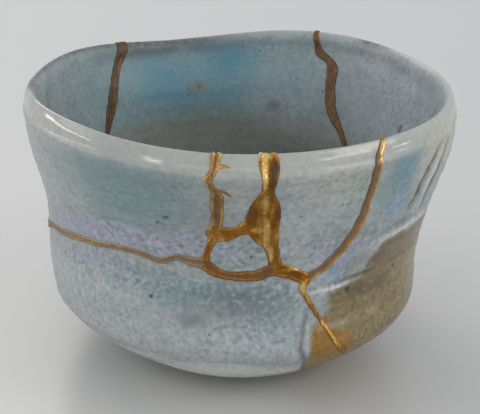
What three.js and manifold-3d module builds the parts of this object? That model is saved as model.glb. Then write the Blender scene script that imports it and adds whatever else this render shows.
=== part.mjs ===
// Kintsugi tea bowl: a hand-thrown stoneware bowl that broke into five sherds and was joined again
// with seams of gold lacquer.
//
// Millimetres, +Z up, standing on the foot ring at z = 0, with the origin under the middle of the
// bowl's outline. Angles are in degrees, counter-clockwise seen from above: 0 is +X, 90 is the back
// (+Y), 180 is the left and 270 is the front (-Y).
//
// The clay is one closed solid made of rings. Every break is a ribbon that runs over the wall and
// goes radially through it. The sherds are what is left of the clay between the ribbons, and the
// gold is a slightly thicker bowl kept only inside the ribbons, so it stands proud on both sides.

import * as THREE from "three";
import { mergeVertices } from "three/addons/utils/BufferGeometryUtils.js";
import Module from "manifold-3d";

const wasm = await Module();
wasm.setup();

// --- Driving dimensions -------------------------------------------------------------------------

const AROUND = 60; // facets around the bowl
const OUTSIDE_STEPS = [1, 2, 2, 1, 2, 2, 1, 1]; // rings from each outside station to the next
const INSIDE_STEPS = [1, 1, 2, 2, 2, 2, 1, 1]; // the same for the inside
const RIM_RADIUS = 59.3;
const RIM_HEIGHT = 74.2;
const LIP = 4.1; // thickness of the rounded lip
const WALL = 4.7; // thickness of the wall at the waist
const FOOT = { outer: 26, inner: 22.5, height: 3.2 };
const FLOOR = 9; // height of the inside floor above the table
const CENTRE_SHIFT = { x: -1.65, y: 1.75 }; // moves the foot so that the rim's outline is centred
const GROOVE = { height: 35.8, depth: 0.7, width: 1.6, middle: 322, reach: 30 };
const GOLD_PROUD = 0.35; // how far the gold stands above the glaze
const GAP = 0.3; // clearance between a sherd and the gold

// The unevenness of the throwing, as waves around the bowl: [lobes, size in mm, angle of a crest].
const RIM_RADIUS_WAVES = [[1, 2.0, -37], [2, 3.7, 65], [3, 0.65, 30], [4, 1.1, 54]];
const RIM_HEIGHT_WAVES = [[1, 2.25, 195], [2, 0.85, 36], [3, 0.7, 88], [4, 0.6, 59], [5, 0.4, 0]];

// Levels of the outside below the rim, from the turn under the bowl up to the waist.
const UNDER = { radius: 33.5, height: 3.6, radiusWaves: [[2, 0.8, 115]], heightWaves: [] };
const HIP = {
  radius: 48.7,
  height: 14.8,
  radiusWaves: [[1, 1.0, 208], [2, 1.6, 115]],
  heightWaves: [[1, 2.1, 284]],
};
const BELLY = {
  radius: 50.4,
  height: 27.6,
  radiusWaves: [[1, 0.9, 165], [2, 1.1, 50]],
  heightWaves: [[1, 1.5, 7]],
};
const WAIST = {
  radius: 51.5,
  height: 43.2,
  radiusWaves: [[2, 0.25, -16]],
  heightWaves: [[1, 0.5, 230], [2, 0.5, -4]],
};
const FLARE = { share: 0.56, radiusWaves: [[1, 0.45, -40], [2, 1.3, 6]] };

// --- Breaks: [angle, height, width] along each one ----------------------------------------------

const ABOVE_RIM = 82; // a break that reaches the rim is cut on up to here
const RIBBON_STEP = 3.4;
const RIBBON_INNER = 30;
const RIBBON_OUTER = 80;
const RIBBON_OVERRUN = 0.7; // each ribbon runs this far into the junction at its end
const MM_PER_DEGREE = 0.96; // along the wall, at its mean radius

const JOIN = {
  leftBridge: [264.4, 51.9],
  leftWaist: [261.3, 43.2],
  centreBridge: [275.8, 54.2],
  centreWaist: [279.8, 41.9],
  fork: [288.6, 38.2],
  backWaist: [150, 36.5],
};

const BREAKS = {
  leftUpper: [
    [265.2, ABOVE_RIM, 1.7], [265.1, 72, 1.7], [264.9, 69.6, 1.8], [264.1, 67, 1.8],
    [265.1, 64.8, 2.3], [265.2, 61, 2.5], [265, 56.5, 2.6], [...JOIN.leftBridge, 2.8],
  ],
  leftLower: [[...JOIN.leftBridge, 2.8], [263, 48.6, 1.9], [262, 45.9, 1.8], [...JOIN.leftWaist, 2.4]],
  bridge: [
    [...JOIN.leftBridge, 4.2], [267, 52, 4.0], [269.5, 52.5, 3.2], [271.8, 53.7, 3.8],
    [...JOIN.centreBridge, 5.5],
  ],
  centreUpper: [
    [275.9, ABOVE_RIM, 3.8], [276, 72.6, 3.8], [276.4, 70.2, 4.0], [276.4, 67, 3.0], [276.1, 64, 3.0],
    [276.1, 61, 5.2], [276, 58.3, 7.2], [275.8, 56, 8.0], [...JOIN.centreBridge, 8.0],
  ],
  centreLower: [
    [...JOIN.centreBridge, 7.8], [277, 51, 5.9], [278, 49, 4.2], [278.8, 46.4, 3.1],
    [...JOIN.centreWaist, 4.0],
  ],
  waistRight: [[...JOIN.centreWaist, 4.0], [283.6, 40.4, 3.4], [286.2, 39.2, 3.3], [...JOIN.fork, 3.2]],
  waistMiddle: [
    [...JOIN.leftWaist, 3.6], [263.4, 41.7, 3.2], [266, 40.5, 2.5], [270, 40.2, 2.7],
    [275, 40.3, 3.1], [...JOIN.centreWaist, 3.4],
  ],
  waistLeft: [
    [...JOIN.backWaist, 1.8], [160, 35.8, 1.7], [170, 35.2, 1.8], [180, 35.4, 1.7], [190.5, 36.6, 1.8],
    [200, 39.6, 1.7], [210, 41, 1.7], [220, 42.3, 1.8], [230, 43.2, 1.6], [238, 44, 1.6],
    [243, 43.9, 1.9], [249.5, 42.8, 1.7], [254.3, 44.4, 2.0], [257.5, 43.7, 2.7], [...JOIN.leftWaist, 3.4],
  ],
  rightCurve: [
    [303.8, ABOVE_RIM, 1.7], [303.5, 71.6, 1.7], [302.2, 69.6, 2.0], [301.8, 66.5, 3.0],
    [302.5, 62, 2.9], [302.5, 57, 2.8], [301.8, 52, 3.0], [300.4, 48.3, 3.0], [297.6, 44.6, 2.9],
    [294.4, 41.5, 2.6], [291.2, 39.4, 2.5], [...JOIN.fork, 3.0],
  ],
  rightTail: [
    [...JOIN.fork, 3.2], [287.6, 35.6, 1.9], [288.8, 33.4, 1.8], [292, 28.5, 1.4], [294.2, 25.4, 1.4],
    [296.6, 21.9, 1.3], [298.6, 19, 1.5], [301.6, 16.2, 1.8], [303.6, 14, 0.9],
  ],
  backLeft: [
    [130.6, ABOVE_RIM, 4.0], [131, 72.4, 4.0], [133.7, 68.4, 2.9], [136.4, 64.3, 2.6],
    [138.7, 59.7, 3.1], [140.6, 55.6, 2.9], [142.6, 51.8, 2.2], [145.6, 46, 1.7],
    [148.6, 40.6, 1.6], [...JOIN.backWaist, 1.8],
  ],
  backRight: [
    [65.9, ABOVE_RIM, 1.6], [65.8, 71.5, 1.8], [64.8, 68.6, 2.4], [61.4, 66.3, 2.0],
    [59, 63.3, 3.6], [58.6, 60.6, 3.4], [57.3, 56, 3.5], [55, 52, 3.3], [51.6, 49, 2.4],
    [47.4, 45, 1.9], [43.6, 40, 1.5], [41.4, 33, 1.2], [41.8, 26, 0.8],
  ],
};

// Each sherd by the breaks around it; a leading "-" walks that break backwards.
const SHERDS = {
  rim_sherd_left: ["backLeft", "waistLeft", "-leftLower", "-leftUpper"],
  rim_sherd_small: ["leftUpper", "bridge", "-centreUpper"],
  rim_sherd_middle: ["centreUpper", "centreLower", "waistRight", "-rightCurve"],
  island_sherd: ["bridge", "centreLower", "-waistMiddle", "-leftLower"],
};
const LONE_BREAK = "backRight"; // the one break that meets no other

const GLAZE = { color: 0x9ca6a9, roughness: 0.35, metalness: 0 };
const PALE_GLAZE = { color: 0xa9adb0, roughness: 0.35, metalness: 0 };
const GOLD = { color: 0xa8702a, roughness: 0.35, metalness: 0.8 };

// --- The bowl's surface --------------------------------------------------------------------------

const radians = THREE.MathUtils.degToRad;

/** Sum of waves around the bowl at an angle in degrees. */
function wave(waves, angle) {
  return waves.reduce((sum, [lobes, size, crest]) => sum + size * Math.cos(lobes * radians(angle - crest)), 0);
}

/** Radius and height of one level of the outside at an angle. */
function level({ radius, height, radiusWaves, heightWaves }, angle) {
  return [radius + wave(radiusWaves, angle), height + wave(heightWaves, angle)];
}

/** Radius and height of the rim at an angle. */
function rim(angle) {
  return [RIM_RADIUS + wave(RIM_RADIUS_WAVES, angle), RIM_HEIGHT + wave(RIM_HEIGHT_WAVES, angle)];
}

/** Radius and height halfway up the flare between waist and rim. */
function flare(angle) {
  const [waistRadius, waistHeight] = level(WAIST, angle);
  const [rimRadius, rimHeight] = rim(angle);
  const radius = waistRadius + (rimRadius - waistRadius) * FLARE.share + wave(FLARE.radiusWaves, angle);
  return [radius, (waistHeight + rimHeight) / 2];
}

/** Depth of the shallow throwing groove that fades out towards both ends of its reach. */
function grooveDepth(angle) {
  const away = Math.abs(((angle - GROOVE.middle + 540) % 360) - 180);
  return away < GROOVE.reach ? GROOVE.depth * Math.cos((away / GROOVE.reach) * (Math.PI / 2)) : 0;
}

/** Points of the outside at an angle, from the foot to the lip, that its smooth profile goes through. */
function outsideStations(angle) {
  const [rimRadius, rimHeight] = rim(angle);
  return [
    [FOOT.outer, FOOT.height],
    level(UNDER, angle),
    level(HIP, angle),
    level(BELLY, angle),
    level(WAIST, angle),
    flare(angle),
    [rimRadius - 0.3, rimHeight - 6],
    [rimRadius, rimHeight - 2],
    [rimRadius - 1, rimHeight - 0.3],
  ];
}

/** Points of the inside at an angle, from the lip down to the floor. */
function insideStations(angle) {
  const [rimRadius, rimHeight] = rim(angle);
  const [flareRadius, flareHeight] = flare(angle);
  const [waistRadius, waistHeight] = level(WAIST, angle);
  const [bellyRadius, bellyHeight] = level(BELLY, angle);
  const [hipRadius, hipHeight] = level(HIP, angle);
  return [
    [rimRadius - LIP * 0.54, rimHeight],
    [rimRadius - LIP * 0.96, rimHeight - 1.8],
    [rimRadius - WALL, rimHeight - 6.5],
    [flareRadius - WALL, flareHeight + 0.5],
    [waistRadius - WALL, waistHeight + 1],
    [bellyRadius - WALL * 1.08, bellyHeight + 1],
    [hipRadius - WALL * 1.6, hipHeight + 4.5],
    [31, FLOOR + 2.5],
    [15, FLOOR + 0.3],
  ];
}

/** Smooth curve through stations, with its own number of steps from each station to the next. */
function smooth(stations, steps) {
  const slope = (i) => {
    const before = stations[Math.max(i - 1, 0)];
    const after = stations[Math.min(i + 1, stations.length - 1)];
    const share = i > 0 && i < stations.length - 1 ? 0.5 : 1;
    return [(after[0] - before[0]) * share, (after[1] - before[1]) * share];
  };
  const between = (i, t) => {
    const [from, to] = [stations[i], stations[i + 1]];
    const [leave, arrive] = [slope(i), slope(i + 1)];
    const blend = (k) =>
      (2 * t ** 3 - 3 * t * t + 1) * from[k] +
      (t ** 3 - 2 * t * t + t) * leave[k] +
      (3 * t * t - 2 * t ** 3) * to[k] +
      (t ** 3 - t * t) * arrive[k];
    return [blend(0), blend(1)];
  };
  const points = [];
  for (let i = 0; i < stations.length - 1; i += 1) {
    for (let step = 0; step < steps[i]; step += 1) points.push(between(i, step / steps[i]));
  }
  points.push(stations.at(-1));
  return points;
}

/** Extra outside rings between belly and waist that draw the groove: both its lips and its bottom. */
function withGroove(points, angle) {
  const above = points.findIndex(([, height]) => height > GROOVE.height + GROOVE.width);
  const [low, high] = [points[above - 1], points[above]];
  const at = (height, depth) => {
    const share = (height - low[1]) / (high[1] - low[1]);
    return [low[0] + (high[0] - low[0]) * share - depth, height];
  };
  const rings = [
    at(GROOVE.height - GROOVE.width, 0),
    at(GROOVE.height, grooveDepth(angle)),
    at(GROOVE.height + GROOVE.width / 2, 0),
  ];
  return [...points.slice(0, above), ...rings, ...points.slice(above)];
}

/** Whole closed profile at an angle, grown outwards and inwards by `proud`. */
function profile(angle, proud) {
  const outside = smooth(outsideStations(angle), OUTSIDE_STEPS).map(([r, z]) => [r + proud, z + proud * 0.5]);
  const inside = smooth(insideStations(angle), INSIDE_STEPS).map(([r, z]) => [r - proud, z + proud]);
  const foot = [[FOOT.inner - 0.6, FOOT.height - 0.2], [FOOT.inner, 0], [FOOT.outer, 0]];
  return [...foot, ...withGroove(outside, angle), ...inside];
}

// --- Solids --------------------------------------------------------------------------------------

/** A point of the bowl at an angle, radius and height. */
function place(angle, radius, height) {
  const turn = radians(angle);
  return [
    radius * Math.cos(turn) + CENTRE_SHIFT.x,
    radius * Math.sin(turn) + CENTRE_SHIFT.y,
    height,
  ];
}

/** Six times the volume inside closed triangles; negative when they face inwards. */
function signedVolume(points, triangles) {
  const [a, b, c] = [new THREE.Vector3(), new THREE.Vector3(), new THREE.Vector3()];
  return triangles.reduce((sum, [i, j, k]) => {
    a.fromArray(points[i]);
    b.fromArray(points[j]);
    c.fromArray(points[k]);
    return sum + a.dot(b.cross(c));
  }, 0);
}

/** Closed solid for cutting and joining, with its faces turned outwards. */
function solidOf(points, triangles) {
  const inwards = signedVolume(points, triangles) < 0;
  const geometry = new THREE.BufferGeometry();
  geometry.setAttribute("position", new THREE.Float32BufferAttribute(points.flat(), 3));
  geometry.setIndex(triangles.flatMap(([a, b, c]) => (inwards ? [c, b, a] : [a, b, c])));
  const merged = mergeVertices(geometry, 1e-5);
  return new wasm.Manifold(
    new wasm.Mesh({
      numProp: 3,
      vertProperties: new Float32Array(merged.getAttribute("position").array),
      triVerts: new Uint32Array(merged.getIndex().array),
    }),
  );
}

/** The two triangles of a four-cornered face. */
function quad(a, b, c, d) {
  return [[a, b, c], [a, c, d]];
}

/** The whole unbroken bowl as a closed solid. */
function bowlSolid(proud) {
  const points = [];
  for (let i = 0; i < AROUND; i += 1) {
    const angle = (i * 360) / AROUND;
    for (const [radius, height] of profile(angle, proud)) points.push(place(angle, radius, height));
  }
  const rings = points.length / AROUND;
  const triangles = [];
  const under = points.length;
  const floor = under + 1;
  points.push(place(0, 0, FOOT.height), place(0, 0, FLOOR + proud));
  for (let i = 0; i < AROUND; i += 1) {
    const here = i * rings;
    const next = ((i + 1) % AROUND) * rings;
    triangles.push([under, next, here]);
    for (let k = 0; k < rings - 1; k += 1) {
      triangles.push(...quad(here + k, next + k, next + k + 1, here + k + 1));
    }
    triangles.push([here + rings - 1, next + rings - 1, floor]);
  }
  return solidOf(points, triangles);
}

/** Evenly spaced points along a break: place along the wall in mm, height and width. */
function walk(name) {
  const points = BREAKS[name].map(([angle, z, width]) => new THREE.Vector3(angle * MM_PER_DEGREE, z, width));
  const curve = new THREE.CatmullRomCurve3(points, false, "centripetal");
  return curve.getSpacedPoints(Math.ceil(curve.getLength() / RIBBON_STEP));
}

/** Both edges of a break's ribbon, widened by `extra` on each side. */
function ribbonEdges(name, extra) {
  const path = walk(name);
  const last = path.length - 1;
  return path.map((point, i) => {
    const before = path[Math.max(i - 1, 0)];
    const after = path[Math.min(i + 1, last)];
    const along = new THREE.Vector2(after.x - before.x, after.y - before.y).normalize();
    const overrun = i === 0 ? -RIBBON_OVERRUN : i === last ? RIBBON_OVERRUN : 0;
    const x = point.x + along.x * overrun;
    const z = point.y + along.y * overrun;
    const half = point.z / 2 + extra;
    return [[x + along.y * half, z - along.x * half], [x - along.y * half, z + along.x * half]];
  });
}

/** A break's ribbon as a solid that goes radially through the wall. */
function ribbonSolid(name, extra) {
  const points = [];
  for (const [right, left] of ribbonEdges(name, extra)) {
    points.push(place(right[0] / MM_PER_DEGREE, RIBBON_INNER, right[1]));
    points.push(place(right[0] / MM_PER_DEGREE, RIBBON_OUTER, right[1]));
    points.push(place(left[0] / MM_PER_DEGREE, RIBBON_OUTER, left[1]));
    points.push(place(left[0] / MM_PER_DEGREE, RIBBON_INNER, left[1]));
  }
  const triangles = [...quad(0, 3, 2, 1)];
  const end = points.length - 4;
  for (let base = 0; base < end; base += 4) {
    for (let side = 0; side < 4; side += 1) {
      const other = (side + 1) % 4;
      triangles.push(...quad(base + side, base + other, base + 4 + other, base + 4 + side));
    }
  }
  triangles.push(...quad(end, end + 1, end + 2, end + 3));
  return solidOf(points, triangles);
}

/** All the named breaks' ribbons joined. */
function ribbons(names, extra) {
  return names.map((name) => ribbonSolid(name, extra)).reduce((all, one) => all.add(one));
}

/** The outline of a sherd on the wall, counter-clockwise along the middle of the breaks around it. */
function outline(names) {
  const points = [];
  for (const name of names) {
    const backwards = name.startsWith("-");
    const path = walk(backwards ? name.slice(1) : name);
    if (backwards) path.reverse();
    points.push(...path.slice(0, -1).map((point) => new THREE.Vector2(point.x, point.y)));
    if (name === names.at(-1)) points.push(new THREE.Vector2(path.at(-1).x, path.at(-1).y));
  }
  if (points[0].distanceTo(points.at(-1)) < RIBBON_STEP / 4) points.pop();
  return THREE.ShapeUtils.isClockWise(points) ? points.reverse() : points;
}

/** A sherd's share of the wall as a wedge that holds everything inside its outline. */
function wedgeSolid(names) {
  const [inner, outer] = [12, 200];
  const edge = outline(names);
  const count = edge.length;
  const at = (radius) => edge.map((p) => place(p.x / MM_PER_DEGREE, radius, p.y));
  const points = [...at(inner), ...at(outer)];
  const faces = THREE.ShapeUtils.triangulateShape(edge, []);
  const triangles = faces.map(([a, b, c]) => [a + count, b + count, c + count]);
  triangles.push(...faces.map(([a, b, c]) => [c, b, a]));
  for (let i = 0; i < count; i += 1) {
    const next = (i + 1) % count;
    triangles.push(...quad(i, next, next + count, i + count));
  }
  return solidOf(points, triangles);
}

/** Named mesh of a finished solid. */
function meshOf(name, solid, finish) {
  const { vertProperties, triVerts } = solid.getMesh();
  const geometry = new THREE.BufferGeometry();
  geometry.setAttribute("position", new THREE.BufferAttribute(vertProperties, 3));
  geometry.setIndex(new THREE.BufferAttribute(triVerts, 1));
  const mesh = new THREE.Mesh(geometry, new THREE.MeshStandardMaterial(finish));
  mesh.name = name;
  return mesh;
}

// --- The bowl ------------------------------------------------------------------------------------

/** The mended bowl: its body, its sherds and the gold between them. */
function buildBowl() {
  const bowl = new THREE.Group();
  const joined = Object.keys(BREAKS).filter((name) => name !== LONE_BREAK);
  const clay = bowlSolid(0).subtract(ribbons(Object.keys(BREAKS), GAP));
  let body = clay;
  for (const [name, around] of Object.entries(SHERDS)) {
    const wedge = wedgeSolid(around);
    bowl.add(meshOf(name, clay.intersect(wedge), name === "island_sherd" ? PALE_GLAZE : GLAZE));
    body = body.subtract(wedge);
  }
  bowl.add(meshOf("bowl_body", body, GLAZE));
  const thicker = bowlSolid(GOLD_PROUD);
  bowl.add(meshOf("gold_seam_network", thicker.intersect(ribbons(joined, 0)), GOLD));
  bowl.add(meshOf("gold_seam_back_right", thicker.intersect(ribbons([LONE_BREAK], 0)), GOLD));
  return bowl;
}

export default buildBowl();
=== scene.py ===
"""Kintsugi tea bowl: the looks of the mended bowl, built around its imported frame.

Lengths are millimetres while a surface is worked out and metres in the finished meshes. Angles are
degrees, counter-clockwise seen from above: 0 is +X, 90 is the back, 180 the left, 270 the front.

Every piece is cut from one skin, which runs from the middle of the underside over the foot ring, up
the outside, over the lip and down the inside to the middle of the floor. A place on it is an angle
and a run: the run counts the named levels of the profile. The breaks are lines on the wall with a
width of their own. What lies clear of them is clay, and what lies in them is gold.
"""

from __future__ import annotations

import itertools
import logging
import math
from dataclasses import dataclass
from enum import Enum
from typing import Any

import bpy
import numpy as np
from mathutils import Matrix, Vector

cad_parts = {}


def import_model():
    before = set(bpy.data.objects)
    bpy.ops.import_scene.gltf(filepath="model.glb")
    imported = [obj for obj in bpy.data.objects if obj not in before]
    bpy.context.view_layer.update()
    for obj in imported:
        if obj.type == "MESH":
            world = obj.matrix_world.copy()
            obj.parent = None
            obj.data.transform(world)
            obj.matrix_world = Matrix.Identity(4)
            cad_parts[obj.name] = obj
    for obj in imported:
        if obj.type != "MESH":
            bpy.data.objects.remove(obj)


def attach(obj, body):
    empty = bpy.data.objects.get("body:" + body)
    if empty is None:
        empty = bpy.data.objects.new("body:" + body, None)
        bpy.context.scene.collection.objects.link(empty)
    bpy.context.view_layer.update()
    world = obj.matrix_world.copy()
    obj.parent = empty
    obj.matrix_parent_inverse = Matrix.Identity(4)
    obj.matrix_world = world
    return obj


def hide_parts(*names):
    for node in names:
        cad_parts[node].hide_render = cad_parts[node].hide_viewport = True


log = logging.getLogger("kintsugi_bowl")

MM = 0.001
MM_PER_DEGREE = 0.96  # along the wall, at its mean radius
ABOVE_RIM = 82.0  # a break that reaches the rim runs on up to here

Waves = tuple[tuple[int, float, float], ...]
Stops = tuple[tuple[float, float, float], ...]


class Side(Enum):
    """Face of the wall that something lies on."""

    OUTSIDE = "outside"
    INSIDE = "inside"


# --- Small helpers ---------------------------------------------------------------------------------


def wave(waves: Waves, angle: np.ndarray) -> np.ndarray:
    """Adds up waves around the bowl.

    Args:
        waves: (lobes, size in mm, angle of a crest) of each wave.
        angle: Angles in degrees.

    Returns:
        The sum of the waves in mm at each angle.
    """
    total = np.zeros_like(angle)
    for lobes, size, crest in waves:
        total = total + size * np.cos(lobes * np.radians(angle - crest))
    return total


def smoothstep(low: float, high: float, value: np.ndarray) -> np.ndarray:
    """Smooth rise from 0 at low to 1 at high; low may be the larger one."""
    t = np.clip((value - low) / (high - low), 0.0, 1.0)
    return t * t * (3.0 - 2.0 * t)


def lattice_noise(points: np.ndarray, size: float, seed: int) -> np.ndarray:
    """Smooth gradient noise in space.

    Args:
        points: Points in mm, one row each.
        size: Width of a bump in mm.
        seed: Picks one pattern.

    Returns:
        Noise from about -1 to 1 at each point.
    """
    scaled = points / size + np.array([seed * 3.17, seed * 7.93, seed * 1.61])
    base = np.floor(scaled).astype(np.int64)
    part = scaled - base
    fade = part * part * part * (part * (part * 6.0 - 15.0) + 10.0)
    total = np.zeros(len(points))
    for corner in itertools.product((0, 1), repeat=3):
        cell = (base + corner).astype(np.uint32)
        key = cell[:, 0] * np.uint32(73856093)
        key ^= cell[:, 1] * np.uint32(19349663)
        key ^= cell[:, 2] * np.uint32(83492791)
        key = (key ^ (key >> np.uint32(15))) * np.uint32(2246822519)
        key = (key ^ (key >> np.uint32(13))) * np.uint32(3266489917)
        key ^= key >> np.uint32(16)
        slope = np.stack([(key >> np.uint32(shift)) & np.uint32(1023) for shift in (0, 10, 20)], 1)
        away = part - corner
        reach = np.prod(np.where(np.array(corner) == 1, fade, 1.0 - fade), axis=1)
        total += reach * ((slope / 511.5 - 1.0) * away).sum(1)
    return total * 1.3


def fractal_noise(points: np.ndarray, size: float, seed: int, octaves: int = 3) -> np.ndarray:
    """Layers of noise, each half as wide and half as strong as the one before.

    Args:
        points: Points in mm, one row each.
        size: Width of the widest bumps in mm.
        seed: Picks one pattern.
        octaves: Number of layers.

    Returns:
        Noise from about -1 to 1 at each point.
    """
    total = np.zeros(len(points))
    for octave in range(octaves):
        total += lattice_noise(points, size / 2**octave, seed + octave) / 2**octave
    return total


def to_segment(
    x: np.ndarray, z: np.ndarray, start: np.ndarray, end: np.ndarray
) -> tuple[np.ndarray, np.ndarray]:
    """Nearest place on a straight stretch: its share of the way along, and how far away it is."""
    along = end[:2] - start[:2]
    offset = np.stack([x - start[0], z - start[1]], axis=1)
    t = np.clip(offset @ along / max(along @ along, 1e-9), 0.0, 1.0)
    return t, np.linalg.norm(offset - t[:, None] * along, axis=1)


def smooth_curve(
    t: np.ndarray, start: np.ndarray, end: np.ndarray, leaving: np.ndarray, arriving: np.ndarray
) -> np.ndarray:
    """Points of a smooth curve between two places, at shares of the way, with the slope at each end."""
    curve = (2 * t**3 - 3 * t**2 + 1) * start + (t**3 - 2 * t**2 + t) * leaving
    curve += (3 * t**2 - 2 * t**3) * end + (t**3 - t**2) * arriving
    return curve


# --- The bowl's form -------------------------------------------------------------------------------


@dataclass(frozen=True)
class Level:
    """One level of the thrown wall: its radius and height, and how uneven each is around the bowl."""

    radius: float
    height: float
    radius_waves: Waves = ()
    height_waves: Waves = ()

    def at(self, angle: np.ndarray) -> tuple[np.ndarray, np.ndarray]:
        """Radius and height of the level at each angle."""
        return self.radius + wave(self.radius_waves, angle), self.height + wave(self.height_waves, angle)


@dataclass(frozen=True)
class Groove:
    """A line that the potter's tool or finger left in the wall, fading out towards both ends."""

    path: tuple[tuple[float, float], ...]  # angle and height
    depth: float  # mm; below 0 is a ridge
    width: float
    painted_shading: float = 0.0  # painted shade in the groove, and painted highlight on a ridge: how dark the glaze is painted in it, and how pale on a ridge

    def share(self, angle: np.ndarray, height: np.ndarray) -> np.ndarray:
        """How much of the groove is left at places on the outside.

        Args:
            angle: Angles in degrees.
            height: Heights in mm.

        Returns:
            1 on its middle, and 0 at its ends and well beside it.
        """
        path = np.array(self.path)
        middle = path[:, 0].mean()
        x = ((angle - middle + 540.0) % 360.0 - 180.0) * MM_PER_DEGREE
        path[:, 0] = (path[:, 0] - middle) * MM_PER_DEGREE
        lengths = np.linalg.norm(np.diff(path, axis=0), axis=1)
        best = np.full(x.shape, 1e3)
        way = np.zeros(x.shape)
        for i, length in enumerate(lengths):
            t, away = to_segment(x, height, path[i], path[i + 1])
            closer = away < best
            way[closer] = (lengths[:i].sum() + t * length)[closer]
            best[closer] = away[closer]
        fade = np.sqrt(np.maximum(np.sin(math.pi * way / lengths.sum()), 0.0))
        return fade * np.exp(-((best / self.width) ** 2))


@dataclass(frozen=True)
class Pit:
    """A small burst bubble in the glaze."""

    angle: float
    height: float
    radius: float
    side: Side = Side.OUTSIDE


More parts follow.
